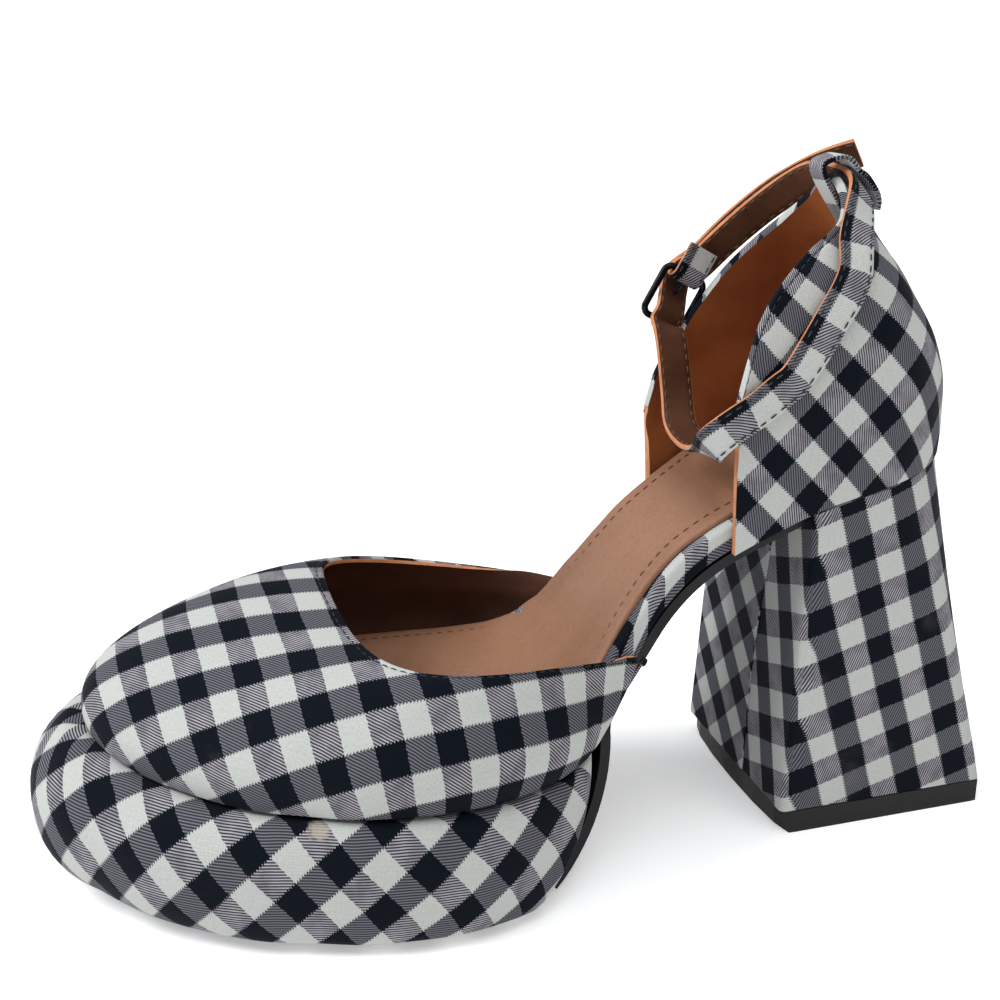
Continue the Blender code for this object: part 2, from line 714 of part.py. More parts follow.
def make_counter(material, group):
    turns = [-1 + 2 * i / COUNTER_STEPS for i in range(COUNTER_STEPS + 1)]
    lifts = [i / COUNTER_RISE_STEPS for i in range(COUNTER_RISE_STEPS + 1)]
    rows = [[counter_point(turn, lift) for turn in turns] for lift in lifts]
    thing = shell("counter", rows, COUNTER_WALL, -1, material, group)
    face_outward(thing, Vector((0.012, 0.0, SEAT_HEIGHT + 0.03)))
    return thing


def heel_edge(station, side, level):
    """Point of the heel block's side, rectangular at the lift and D-shaped under the seat."""
    ease = level ** HEEL_FLARE_POWER
    back = HEEL_BASE_BACK + (BED_BACK + HEEL_BACK_INSET - HEEL_BASE_BACK) * ease
    front = HEEL_BASE_FRONT + (HEEL_TOP_FRONT - HEEL_BASE_FRONT) * level
    x = back + (front - back) * (1 - math.cos(math.pi * station / HEEL_STATIONS)) / 2
    half_top = half_width(x) - HEEL_SIDE_INSET
    half = HEEL_BASE_WIDTH / 2 + (half_top - HEEL_BASE_WIDTH / 2) * ease
    corner = HEEL_CORNER + (SEAT_ROUND * BED_LENGTH - HEEL_CORNER) * ease
    rounding = round_end(x - back, corner, 2.0) * round_end(front - x, HEEL_CORNER, 2.0)
    y = centre_line(x) * ease + side * half * rounding
    return x, y, LIFT_THICK + CLEAR + (heel_top(x) - LIFT_THICK - CLEAR) * level


def heel_top(x):
    return feather_height(x) - 2 * CLEAR - OUTSOLE_THICK * math.sqrt(1 + bed_slope(x) ** 2)


def make_heel_block(material, group):
    def inner(x, face):
        return heel_top(x) if face else LIFT_THICK + CLEAR

    return plate("heel_block", HEEL_STATIONS, HEEL_LEVELS, heel_edge, inner, material, group)


def make_top_lift(material, group):
    def edge(station, side, level):
        x, y, _ = heel_edge(station, side, 0.0)
        return x, y, LIFT_THICK * level

    def inner(x, face):
        return LIFT_THICK * face

    return plate("top_lift", HEEL_STATIONS, (0.0, 1.0), edge, inner, material, group)


def counter_normal(turn, z):
    """Outward unit normal of the counter's outer face."""
    across = counter_skin(turn + TURN_STEP, z) - counter_skin(turn - TURN_STEP, z)
    upward = counter_skin(turn, z + SLOPE_STEP) - counter_skin(turn, z - SLOPE_STEP)
    return across.cross(upward).normalized()


def strap_place(along, across, up):
    return Vector((x_of(along), BALL_WIDTH * across, SEAT_HEIGHT + COUNTER_HEIGHT * up))


def strap_wrap():
    """Stations of the strap that lie on the counter: middle of the band and its way down."""
    stations = []
    for turn, up in STRAP_WRAP:
        z = SEAT_HEIGHT + COUNTER_HEIGHT * up
        middle = counter_skin(turn, z) + counter_normal(turn, z) * (CLEAR + STRAP_SEAT + STRAP_THICK / 2)
        down = counter_skin(turn, z - SLOPE_STEP) - counter_skin(turn, z + SLOPE_STEP)
        stations.append((middle, down.normalized()))
    return stations


def strap_free(table):
    return [(strap_place(*row[:3]), Vector(row[3:]).normalized()) for row in table]


def buckle_frame_axes():
    """Middle of the buckle and its unit directions along the strap, across it and outwards."""
    tilt = math.radians(BUCKLE_TILT)
    along = Vector((-math.cos(tilt), 0.0, math.sin(tilt)))
    outward = Vector((0.0, -1.0, 0.0))
    return strap_place(*BUCKLE_PLACE), along, outward.cross(along), outward


def strap_fold():
    """Stations of the strap's end, folded round the buckle's upper cross wire and back inside."""
    middle, along, across, outward = buckle_frame_axes()
    wire = middle + along * (BUCKLE_LONG / 2)
    radius = BUCKLE_WIRE + CLEAR + STRAP_THICK / 2
    stations = [(wire + along * FOLD_LENGTH - outward * radius, across)]
    stations.append((wire + along * FOLD_LENGTH / 2 - outward * radius, across))
    for i in range(FOLD_STEPS + 1):
        turn = math.pi * i / FOLD_STEPS
        point = wire - along * radius * math.sin(turn) - outward * radius * math.cos(turn)
        stations.append((point, across))
    return stations


def strap_thread():
    """Stations of the strap where it passes out through the buckle, from the tail's side inwards."""
    middle, along, across, outward = buckle_frame_axes()
    return [(middle + along * (BUCKLE_LONG * s) + outward * (STRAP_THICK * h), across)
            for s, h in STRAP_THREAD]


def strap_stations():
    """The whole strap from its tail, through the buckle, round the ankle and back to its fold."""
    stations = strap_free(STRAP_TAIL) + strap_thread() + strap_free(STRAP_FRONT)
    return stations + strap_wrap() + strap_free(STRAP_FAR) + list(reversed(strap_fold()))


def between(stations, index, share):
    """Catmull-Rom point between two stations of a list of (point, direction)."""
    last = len(stations) - 1
    keys = [stations[max(0, min(last, index + k))] for k in (-1, 0, 1, 2)]
    t = share
    weights = (-t + 2 * t * t - t ** 3, 2 - 5 * t * t + 3 * t ** 3, t + 4 * t * t - 3 * t ** 3, t ** 3 - t * t)
    point = sum((key[0] * w for key, w in zip(keys, weights)), Vector()) / 2
    return point, keys[1][1].lerp(keys[2][1], share)


def ribbon_rings(stations, width, thickness, split):
    """Sections of a band, square to its line, with inner edges at a share of half its width."""
    line = []
    for index in range(len(stations) - 1):
        line += [between(stations, index, k / BAND_STEPS) for k in range(BAND_STEPS)]
    line.append(stations[-1])
    rings = []
    for i, (point, lean) in enumerate(line):
        ahead = (line[min(i + 1, len(line) - 1)][0] - line[max(i - 1, 0)][0]).normalized()
        side = (lean - ahead * lean.dot(ahead)).normalized() * (width / 2)
        face = ahead.cross(side).normalized() * (thickness / 2)
        across = (1, split, -split, -1)
        corners = [(a, 1) for a in across] + [(a, -1) for a in reversed(across)]
        rings.append([tuple(point + side * a + face * b) for a, b in corners])
    return rings


def wire_object(name, points, radius, closed, material, group):
    curve = bpy.data.curves.new(name, "CURVE")
    curve.dimensions = "3D"
    curve.bevel_depth = radius
    curve.bevel_resolution = 2
    curve.use_fill_caps = True
    spline = curve.splines.new("POLY")
    spline.points.add(len(points) - 1)
    for slot, point in zip(spline.points, points):
        slot.co = (*point, 1.0)
    spline.use_cyclic_u = closed
    curve.materials.append(material)
    thing = bpy.data.objects.new(name, curve)
    group.objects.link(thing)
    return thing


def make_buckle_frame(material, group):
    """Rounded rectangle of wire."""
    middle, along, across, outward = buckle_frame_axes()
    points = []
    half_long = BUCKLE_LONG / 2 - BUCKLE_CORNER
    half_wide = BUCKLE_WIDE / 2 - BUCKLE_CORNER
    for corner, (a, b) in enumerate(((1, 1), (-1, 1), (-1, -1), (1, -1))):
        for k in range(CORNER_STEPS + 1):
            turn = math.pi / 2 * (corner + k / CORNER_STEPS)
            s = a * half_long + BUCKLE_CORNER * math.cos(turn)
            w = b * half_wide + BUCKLE_CORNER * math.sin(turn)
            points.append(middle + along * s + across * w)
    return wire_object("buckle_frame", points, BUCKLE_WIRE, True, material, group)


def prong_ends():
    """Ends of the prong: in front of the upper cross wire, and on the lower one."""
    middle, along, across, outward = buckle_frame_axes()
    root = middle + along * (BUCKLE_LONG / 2 - BUCKLE_WIRE - CLEAR)
    rest = BUCKLE_WIRE + PRONG_WIRE + CLEAR
    tip = middle - along * (BUCKLE_LONG / 2 + PRONG_OVER) + outward * rest
    return root, tip


def make_buckle_prong(material, group):
    root, tip = prong_ends()
    points = [root.lerp(tip, k / 4) for k in range(5)]
    return wire_object("buckle_prong", points, PRONG_WIRE, False, material, group)


def make_ankle_strap(material, group):
    """Band threaded through the back loop and the buckle, slotted there and in its fold for the prong."""
    stations = strap_stations()
    rings = ribbon_rings(stations, STRAP_WIDTH, STRAP_THICK, SLOT_WIDE / STRAP_WIDTH)
    thread = len(STRAP_TAIL)
    fold = len(stations) - len(strap_fold())
    ends = [(thread + SLOT_ROWS[0], thread + SLOT_ROWS[1]), (fold + 1, fold + FOLD_STEPS - 1)]
    slots = [(BAND_STEPS * first, BAND_STEPS * last) for first, last in ends]
    return loft("ankle_strap", rings, material, group, slots)


def make_back_loop(material, group):
    """Tab over the counter's back: outside round the strap, and down again inside."""
    beside = CLEAR + TAB_THICK / 2
    flat = beside + LOOP_SAG
    over = beside + CLEAR + STRAP_SEAT + STRAP_THICK + LOOP_SLACK
    inside = -(COUNTER_WALL + flat)

    def skin(up):
        return counter_skin(LOOP_TURN, SEAT_HEIGHT + COUNTER_HEIGHT * up)

    def normal(up):
        return counter_normal(LOOP_TURN, SEAT_HEIGHT + COUNTER_HEIGHT * up)

    points = [skin(up) + normal(up) * (flat + (over - flat) * stand) for up, stand in LOOP_OUTSIDE]
    out = normal(LOOP_TOP)
    crown = Vector((out.z, 0.0, -out.x)) * LOOP_CROWN
    for share in LOOP_CROSS:
        points.append(skin(LOOP_TOP) + out * (over + (inside - over) * share) + crown)
    points += [skin(up) + normal(up) * inside for up in LOOP_INSIDE]
    stations = [(point, Vector((0, 1, 0))) for point in points]
    return loft("back_loop", ribbon_rings(stations, TAB_WIDTH, TAB_THICK, TAB_SPLIT), material, group)


def main():
    clear_scene()
    group = make_collection(PARTS)
    cloth = make_material("gingham_cloth", (0.32, 0.32, 0.34), 0.85)
    leather = make_material("tan_leather", (0.30, 0.14, 0.07), 0.55)
    rubber = make_material("black_rubber", (0.012, 0.012, 0.014), 0.6)
    metal = make_material("black_metal", (0.03, 0.03, 0.035), 0.3, 1.0)
    make_outsole(rubber, group)
    make_platform(cloth, group)
    make_insole_board(cloth, group)
    make_sock_lining(leather, group)
    make_vamp(cloth, group)
    make_counter(cloth, group)
    make_heel_block(cloth, group)
    make_top_lift(rubber, group)
    make_ankle_strap(cloth, group)
    make_back_loop(cloth, group)
    make_buckle_frame(metal, group)
    make_buckle_prong(metal, group)


main()
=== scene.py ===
"""Dresses the platform shoe: gingham cloth, leather, rubber, stitching and buckle.

Metres, +Z up, the toe points along +X and the outer side of the foot is +Y.
"""

import math

import bmesh
import bpy
import numpy as np
from bpy.props import FloatProperty, FloatVectorProperty, PointerProperty
from mathutils import Matrix, Vector


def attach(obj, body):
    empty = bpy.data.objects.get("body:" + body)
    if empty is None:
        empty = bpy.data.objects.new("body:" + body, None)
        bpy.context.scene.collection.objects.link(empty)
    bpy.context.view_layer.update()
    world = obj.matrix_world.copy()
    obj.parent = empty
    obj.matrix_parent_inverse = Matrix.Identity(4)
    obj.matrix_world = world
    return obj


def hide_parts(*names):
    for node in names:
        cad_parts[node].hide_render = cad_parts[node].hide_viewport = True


bl_info = {
    "name": "Platform shoe",
    "version": (1, 0, 0),
    "blender": (4, 5, 0),
    "location": "3D View > Sidebar > Shoe",
    "description": "Builds the cloth, leather, stitching and buckle of a platform shoe",
    "category": "Object",
}

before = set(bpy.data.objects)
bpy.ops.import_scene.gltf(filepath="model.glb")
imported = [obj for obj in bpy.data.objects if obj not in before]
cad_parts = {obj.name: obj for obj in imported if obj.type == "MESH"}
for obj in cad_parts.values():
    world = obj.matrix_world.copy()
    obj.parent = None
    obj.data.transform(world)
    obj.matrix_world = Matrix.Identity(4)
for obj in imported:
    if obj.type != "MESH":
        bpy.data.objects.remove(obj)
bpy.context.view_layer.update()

# Driving dimensions of the shoe
BED_BACK = -0.0210
BED_LENGTH = 0.2190
BALL_WIDTH = 0.092
SEAT_HEIGHT = 0.0975
PLATFORM_HEIGHT = 0.033
TOE_REACH = 0.0150
CLEAR = 0.0003
OUTSOLE_THICK = 0.0026
VAMP_WALL = 0.0018
COUNTER_WALL = 0.0022
SOCK_THICK = 0.0012
LIFT_THICK = 0.0063
STRAP_THICK = 0.0016
TAB_THICK = 0.0013
HEEL_BASE_BACK = -0.0330
HEEL_BASE_FRONT = 0.0280
HEEL_BASE_WIDTH = 0.0600
HEEL_TOP_FRONT = 0.0235
HEEL_CORNER = 0.0030
HEEL_SIDE_INSET = 0.0006
HEEL_FLARE_POWER = 1.15
STRAP_WIDTH = 0.0085
TAB_WIDTH = 0.0070
BUCKLE_LONG = 0.0140
BUCKLE_WIDE = 0.0125
BUCKLE_WIRE = 0.0009
BUCKLE_CORNER = 0.0022
PRONG_WIRE = 0.0006
BUCKLE_TILT = 60.0
BUCKLE_PLACE = (0.2730, -0.2830, 0.5000)
TOE_POWER = 2.2
TOE_ROUND = 0.208
SEAT_ROUND = 0.120
WING_START = 0.403
WING_LENGTH = 0.12
BALL_PLACE = 0.62
VAMP_POWER = 1.08
VAMP_BULGE = 0.0030
BULGE_SPREAD = 1.25
BULGE_FADE = 0.5
COUNTER_HEIGHT = 0.0675
COUNTER_FRONT_OUTER = 0.298
COUNTER_FRONT_INNER = 0.311
COUNTER_TAPER_OUTER = 0.040
COUNTER_TAPER_INNER = 0.140
COUNTER_TAPER_POWER = 3
COUNTER_ROUND_LOW = 0.46
COUNTER_ROUND_HIGH = 0.27
COUNTER_BLEND = 0.35
STRAP_SEAT = 0.0010
FOLD_LENGTH = 0.0075
PRONG_OVER = 0.0015
PRONG_BOW = 0.0004
LOOP_TURN = -0.06
LOOP_TOP = 1.010
LOOP_CROWN = 0.0030
LOOP_SAG = 0.0015
LOOP_SLACK = 0.0006
LEDGE_CROWN = 0.42
LEDGE_REACH = 0.70
LEDGE_POWER = 2.6
TOE_SPRING = 0.0035
SPRING_START = 0.777
REAR_TOP = 0.449
REAR_FLOOR = 0.523
REAR_ROUND = 0.007
REAR_POWER = 2.3
REAR_SWEEP = 2.4
TOE_SHARE = 0.6
BOARD_INSET = 0.0028
SOCK_INSET = 0.0030
TURN_STEP = 0.02
SLOPE_STEP = 0.0002


def columns_of(names, *rows):
    """Each named column of a table as pairs with the table's first column."""
    return {name: [(row[0], row[k]) for row in rows] for k, name in enumerate(names)}


# Sections of the bed: places as shares of its length, heights and widths as shares of the sizes above.
BED = columns_of(
    ("along", "rise", "board", "centre", "half"),
    (0.000, 1.000, 0.160, 0.000, 0.300),
    (0.096, 0.938, 0.170, 0.003, 0.312),
    (0.196, 0.868, 0.185, 0.011, 0.318),
    (0.256, 0.788, 0.205, 0.022, 0.304),
    (0.297, 0.721, 0.221, 0.035, 0.283),
    (0.324, 0.667, 0.227, 0.042, 0.274),
    (0.356, 0.574, 0.258, 0.046, 0.268),
    (0.384, 0.457, 0.282, 0.045, 0.270),
    (0.406, 0.318, 0.348, 0.041, 0.280),
    (0.429, 0.171, 0.424, 0.034, 0.300),
    (0.452, 0.062, 0.424, 0.026, 0.327),
    (0.479, 0.012, 0.339, 0.022, 0.372),
    (0.516, 0.000, 0.242, 0.024, 0.427),
    (0.575, 0.000, 0.182, 0.027, 0.478),
    (0.644, 0.000, 0.167, 0.022, 0.500),
    (0.726, 0.000, 0.167, 0.002, 0.492),
    (0.790, 0.000, 0.167, -0.027, 0.456),
    (0.836, 0.000, 0.167, -0.049, 0.428),
    (0.895, 0.010, 0.167, -0.082, 0.386),
    (0.950, 0.028, 0.167, -0.118, 0.355),
    (1.000, 0.062, 0.167, -0.160, 0.330),
)
THROAT = columns_of(
    ("share", "along", "across", "height"),
    (0.000, 0.403, 0.318, 0.690),
    (0.050, 0.454, 0.352, 0.770),
    (0.130, 0.573, 0.440, 0.880),
    (0.220, 0.663, 0.380, 0.900),
    (0.300, 0.700, 0.245, 0.915),
    (0.400, 0.718, 0.060, 1.010),
    (0.500, 0.724, -0.110, 1.130),
    (0.580, 0.718, -0.225, 1.120),
    (0.680, 0.680, -0.330, 1.030),
    (0.780, 0.594, -0.405, 0.860),
    (0.900, 0.472, -0.370, 0.700),
    (1.000, 0.403, -0.235, 0.640),
)
COUNTER = columns_of(
    ("up", "back", "outer", "inner"),
    (-0.230, 0.000, 0.310, 0.290),
    (-0.050, -0.003, 0.318, 0.300),
    (0.065, -0.005, 0.324, 0.306),
    (0.230, -0.001, 0.327, 0.304),
    (0.410, 0.016, 0.316, 0.288),
    (0.590, 0.050, 0.286, 0.258),
    (0.685, 0.069, 0.258, 0.232),
    (0.758, 0.086, 0.218, 0.200),
    (0.837, 0.100, 0.165, 0.162),
    (0.916, 0.115, 0.125, 0.128),
    (1.000, 0.137, 0.098, 0.102),
)
TOPLINE = columns_of(
    ("reach", "outer", "inner"),
    (0.00, 1.000, 1.000),
    (0.12, 0.932, 0.921),
    (0.30, 0.853, 0.822),
    (0.60, 0.758, 0.642),
    (0.79, 0.663, 0.465),
    (0.90, 0.558, 0.310),
    (0.95, 0.464, 0.248),
    (1.00, 0.295, 0.085),
)
STRAP_WRAP = (
    # turn, up
    (-0.930, 0.330),
    (-0.890, 0.380),
    (-0.790, 0.542),
    (-0.665, 0.674),
    (-0.560, 0.779),
    (-0.420, 0.869),
    (-0.260, 0.921),
    (-0.120, 0.947),
    (0.030, 0.953),
)
STRAP_FRONT = (
    # along, across, up, lean x, lean y, lean z
    (0.2890, -0.2050, 0.369, -1.0, 0.0, 0.00),
    (0.2900, -0.1450, 0.169, -1.0, 0.0, 0.05),
    (0.2950, -0.0850, 0.069, -1.0, 0.0, 0.10),
    (0.2950, 0.0100, 0.032, -1.0, 0.0, 0.05),
    (0.2990, 0.1150, 0.048, -1.0, 0.2, -0.10),
    (0.3150, 0.2150, 0.085, -0.8, 0.4, -0.45),
    (0.3300, 0.3080, 0.153, -0.5, 0.25, -0.80),
    (0.3150, 0.3450, 0.222, -0.5, 0.1, -0.83),
    (0.2850, 0.3350, 0.270, -0.4, 0.1, -0.85),
)
STRAP_FAR = (
    # along, across, up, lean x, lean y, lean z
    (0.1270, -0.1150, 0.971, -0.5, 0.1, -0.85),
    (0.1390, -0.1850, 0.932, -0.5, 0.1, -0.85),
    (0.1690, -0.2450, 0.838, -0.7, 0.1, -0.70),
    (0.2070, -0.2880, 0.715, -0.7, 0.0, -0.70),
    (0.2400, -0.3050, 0.610, -0.75, 0.0, -0.60),
)
STRAP_TAIL = (
    # along, across, up, lean x, lean y, lean z
    (0.0710, -0.1490, 1.043, 0.0, -0.5, -0.85),
    (0.0950, -0.1900, 1.005, -0.2, -0.2, -0.88),
    (0.1180, -0.2350, 0.955, -0.4, 0.1, -0.88),
    (0.1490, -0.2800, 0.880, -0.56, 0.2, -0.80),
    (0.1900, -0.3200, 0.760, -0.71, 0.1, -0.70),
    (0.2280, -0.3350, 0.640, -0.75, 0.0, -0.66),
)
STRAP_THREAD = (
    # along, out
    (0.42, 2.75),
    (0.16, 1.90),
    (-0.05, 0.20),
    (-0.28, -1.45),
    (-0.52, -1.75),
)
LOOP_OUTSIDE = (
    # up, stand
    (0.85, 0.1),
    (0.87, 0.7),
    (0.90, 1.0),
    (0.95, 1.0),
    (LOOP_TOP, 1.0),
)
LOOP_INSIDE = (LOOP_TOP, 0.86, 0.78)
LOOP_CROSS = (0.3, 0.7)
LEDGE = (
    # along, out
    (0.390, 0.10),
    (0.594, 0.24),
    (0.736, 0.34),
    (0.837, 0.58),
    (0.919, 0.80),
    (1.000, 1.00),
)

# How each panel is cut from the cloth and pulled over its form. The two rows give the place along
# the cloth's rows and across them, in checks: share of x, share of y, start, then the shares of
# x squared, x times y and y squared, where x and y are places on the flat panel, in checks.
VAMP_CUT = ((-1.12, -0.03, 2.5, 0.004, -0.012, 0.009),
            (0.31, -0.96, -6.3, 0.004, 0.017, -0.004))
COUNTER_CUT = ((-0.30, 0.98, 3.9), (1.06, 0.24, -5.5))
HEEL_CUT = ((0.0, 1.0, -0.4), (-1.0, 0.0, -9.8))
BREAST_CUT = ((0.71, 0.71, 0.3), (-0.71, 0.71, 0.2))
PLATFORM_CUT = ((0.76, -0.85, -10.6), (0.62, 0.44, -3.4))
BOARD_CUT = ((1.0, 0.0, 0.0), (0.0, 1.0, 0.0))
STRAP_CUT = ((1.0, 0.0, 0.2), (0.0, 1.0, 0.22))
LOOP_CUT = ((1.0, 0.0, 0.3), (0.0, 1.0, 0.5))


# Shapes of the shoe


def smooth(pairs, x):
    """Monotone cubic curve through (x, y) pairs, level past both ends."""
    if x <= pairs[0][0]:
        return pairs[0][1]
    if x >= pairs[-1][0]:
        return pairs[-1][1]
    slopes = [(b[1] - a[1]) / (b[0] - a[0]) for a, b in zip(pairs, pairs[1:])]
    index = max(i for i in range(len(pairs) - 1) if pairs[i][0] <= x)

    def tangent(i):
        if i == 0:
            return slopes[0]
        if i == len(pairs) - 1:
            return slopes[-1]
        left, right = slopes[i - 1], slopes[i]
        if left * right <= 0:
            return 0.0
        return 2 * left * right / (left + right)

    (x0, y0), (x1, y1) = pairs[index], pairs[index + 1]
    step = x1 - x0
    t = (x - x0) / step
    return ((1 + 2 * t) * (1 - t) ** 2 * y0 + t * (1 - t) ** 2 * step * tangent(index)
            + t * t * (3 - 2 * t) * y1 + t * t * (t - 1) * step * tangent(index + 1))


def along_of(x):
    return (x - BED_BACK) / BED_LENGTH


def x_of(along):
    return BED_BACK + along * BED_LENGTH


def feather_height(x):
    rise = smooth(BED["rise"], along_of(x))
    return PLATFORM_HEIGHT + rise * (SEAT_HEIGHT - PLATFORM_HEIGHT)


def bed_top(x):
    board = smooth(BED["board"], along_of(x))
    return feather_height(x) + board * PLATFORM_HEIGHT


def bed_slope(x):
    return (feather_height(x + SLOPE_STEP) - feather_height(x - SLOPE_STEP)) / (2 * SLOPE_STEP)


def upright_stretch(x):
    return math.sqrt(1 + bed_slope(x) ** 2)


def centre_line(x):
    return BALL_WIDTH * smooth(BED["centre"], along_of(x))


def half_width(x):
    return BALL_WIDTH * smooth(BED["half"], along_of(x))


def round_end(distance, length, power):
    """1 away from an end of an outline, falling to 0 on it like a superellipse."""
    if distance >= length:
        return 1.0
    return max(0.0, 1 - (1 - max(distance, 0.0) / length) ** power) ** (1 / power)


def outline_side(x, side, back, front, grow):
    toe = round_end(front - x, TOE_ROUND * BED_LENGTH + (front - x_of(1)), TOE_POWER)
    seat = round_end(x - back, SEAT_ROUND * BED_LENGTH, 2.0)
    return centre_line(x) + side * (half_width(x) + grow) * toe * seat


def underside(x):
    start = x_of(SPRING_START)
    end = x_of(1) + TOE_REACH
    return OUTSOLE_THICK + TOE_SPRING * max(0.0, (x - start) / (end - start)) ** 2


def ledge(x, level):
    out = TOE_REACH * smooth(LEDGE, along_of(x))
    return out * (1 - abs((level - LEDGE_CROWN) / LEDGE_REACH) ** LEDGE_POWER)


def eased(start, end, share):
    """Between start and end at a share of the way, with the steps smaller near both."""
    return start + (end - start) * (1 - math.cos(math.pi * share)) / 2


def platform_rear(level):
    """Back of the platform at a level: upright above and swept forward to the floor."""
    return x_of(REAR_TOP + (REAR_FLOOR - REAR_TOP) * (1 - level) ** REAR_SWEEP)


def platform_point(share, side, level):
    rear = platform_rear(level)
    front = x_of(1) + ledge(x_of(1), level)
    x = eased(rear, front, share)
    toe = round_end(front - x, TOE_ROUND * BED_LENGTH + TOE_REACH * TOE_SHARE, TOE_POWER)
    back = round_end(x - rear, REAR_ROUND, REAR_POWER)
    y = centre_line(x) + side * (half_width(x) + ledge(x, level)) * toe * back
    low = underside(x) + CLEAR
    high = feather_height(x) - CLEAR
    return x, y, low + (high - low) * level


def throat_point(share):
    """Point of the vamp's top line, from the outer wing (0) round the throat to the inner one (1)."""
    along = smooth(THROAT["along"], share)
    across = smooth(THROAT["across"], share)
    height = smooth(THROAT["height"], share)
    return Vector((x_of(along), BALL_WIDTH * across, PLATFORM_HEIGHT * (1 + height)))


def feather_point(share):
    """Point of the vamp's feather line below the same share of its top line."""
    reach = 1 - abs(2 * share - 1)
    start = x_of(WING_START)
    x = start + (x_of(1) - start) * (1 - (1 - reach) ** 2)
    side = 1 if share < 0.5 else -1
    y = outline_side(x, side, BED_BACK, x_of(1), 0.0)
    return Vector((x, y, feather_height(x) + 3 * CLEAR * upright_stretch(x)))


def vamp_point(low, high, lift):
    """Point of the vamp's outer face between its feather line (0) and its top line (1)."""
    swing = math.pi / 2 * lift
    inward = 1 - math.cos(swing) ** VAMP_POWER
    upward = math.sin(swing) ** VAMP_POWER
    plan = low.xy.lerp(high.xy, inward)
    height = low.z + (high.z - low.z) * upward
    wing = min(1.0, (low.x - x_of(WING_START)) / (WING_LENGTH * BED_LENGTH))
    ball = x_of(BALL_PLACE)
    out = (low.xy - Vector((ball, centre_line(ball)))).normalized()
    belly = VAMP_BULGE * wing * math.sin(math.pi * min(1.0, upward * BULGE_SPREAD))
    plan += out * (belly * (1 - BULGE_FADE * upward))
    return plan.x, plan.y, height


def counter_height(up):
    return SEAT_HEIGHT + COUNTER_HEIGHT * up


def counter_side(turn):
    if turn < 0:
        return "outer", 1, x_of(COUNTER_FRONT_OUTER), COUNTER_TAPER_OUTER
    return "inner", -1, x_of(COUNTER_FRONT_INNER), COUNTER_TAPER_INNER


def counter_skin(turn, z):
    """Point of the counter's outer face at height z, -1 to 1 from the outer front round the back."""
    key, side, front, taper = counter_side(turn)
    reach = turn * turn
    up = (z - SEAT_HEIGHT) / COUNTER_HEIGHT
    back = BED_BACK + BED_LENGTH * smooth(COUNTER["back"], up)
    wide = BALL_WIDTH * smooth(COUNTER[key], up)
    wide *= 1 - taper * reach ** COUNTER_TAPER_POWER
    rounding = COUNTER_ROUND_LOW + (COUNTER_ROUND_HIGH - COUNTER_ROUND_LOW) * max(0.0, min(1.0, up))
    ring = side * wide * round_end(reach, rounding, 2.0)
    foot_x = BED_BACK + (front - BED_BACK) * reach
    foot_z = feather_height(foot_x) + CLEAR
    foot = outline_side(foot_x, side, BED_BACK, x_of(1), 0.0)
    blend = max(0.0, min(1.0, (z - foot_z) / (COUNTER_BLEND * COUNTER_HEIGHT)))
    blend = blend * blend * (3 - 2 * blend)
    return Vector((back + (front - back) * reach, foot + (ring - foot) * blend, z))


def counter_point(turn, lift):
    """Point of the counter's outer face between its foot (0) and its top line (1)."""
    key, _, front, _ = counter_side(turn)
    reach = turn * turn
    top = counter_height(smooth(TOPLINE[key], reach))
    foot_z = feather_height(BED_BACK + (front - BED_BACK) * reach) + CLEAR
    return tuple(counter_skin(turn, foot_z + (top - foot_z) * lift))


def counter_normal(turn, z):
    across = counter_skin(turn + TURN_STEP, z) - counter_skin(turn - TURN_STEP, z)
    upward = counter_skin(turn, z + SLOPE_STEP) - counter_skin(turn, z - SLOPE_STEP)
    return across.cross(upward).normalized()


def heel_cover_top(x):
    """Top of the heel's covering, which hides the edge of the outsole at the seat."""
    return feather_height(x) - 2 * CLEAR


def strap_place(along, across, up):
    return Vector((x_of(along), BALL_WIDTH * across, counter_height(up)))


def strap_wrap():
    """Stations of the strap on the counter's outer face."""
    stations = []
    for turn, up in STRAP_WRAP:
        z = counter_height(up)
        middle = counter_skin(turn, z) + counter_normal(turn, z) * (CLEAR + STRAP_SEAT + STRAP_THICK / 2)
        down = counter_skin(turn, z - SLOPE_STEP) - counter_skin(turn, z + SLOPE_STEP)
        stations.append((middle, down.normalized()))
    return stations


def strap_free(table):
    return [(strap_place(*row[:3]), Vector(row[3:]).normalized()) for row in table]


def buckle_frame_axes():
    tilt = math.radians(BUCKLE_TILT)
    along = Vector((-math.cos(tilt), 0.0, math.sin(tilt)))
    outward = Vector((0.0, -1.0, 0.0))
    return strap_place(*BUCKLE_PLACE), along, outward.cross(along), outward


def strap_fold(steps=6):
    """Stations of the strap's end, folded round the buckle's upper wire."""
    middle, along, across, outward = buckle_frame_axes()
    wire = middle + along * (BUCKLE_LONG / 2)
    radius = BUCKLE_WIRE + CLEAR + STRAP_THICK / 2
    stations = [(wire + along * FOLD_LENGTH - outward * radius, across)]
    stations.append((wire + along * FOLD_LENGTH / 2 - outward * radius, across))
    for i in range(steps + 1):
        turn = math.pi * i / steps
        point = wire - along * radius * math.sin(turn) - outward * radius * math.cos(turn)
        stations.append((point, across))
    return stations


def strap_thread():
    """Stations of the strap where it passes through the buckle."""
    middle, along, across, outward = buckle_frame_axes()
    return [(middle + along * (BUCKLE_LONG * s) + outward * (STRAP_THICK * h), across)
            for s, h in STRAP_THREAD]


def strap_stations():
    """Middle and half-width direction of the strap, from its tail to its folded end."""
    stations = strap_free(STRAP_TAIL) + strap_thread() + strap_free(STRAP_FRONT)
    return stations + strap_wrap() + strap_free(STRAP_FAR) + list(reversed(strap_fold()))


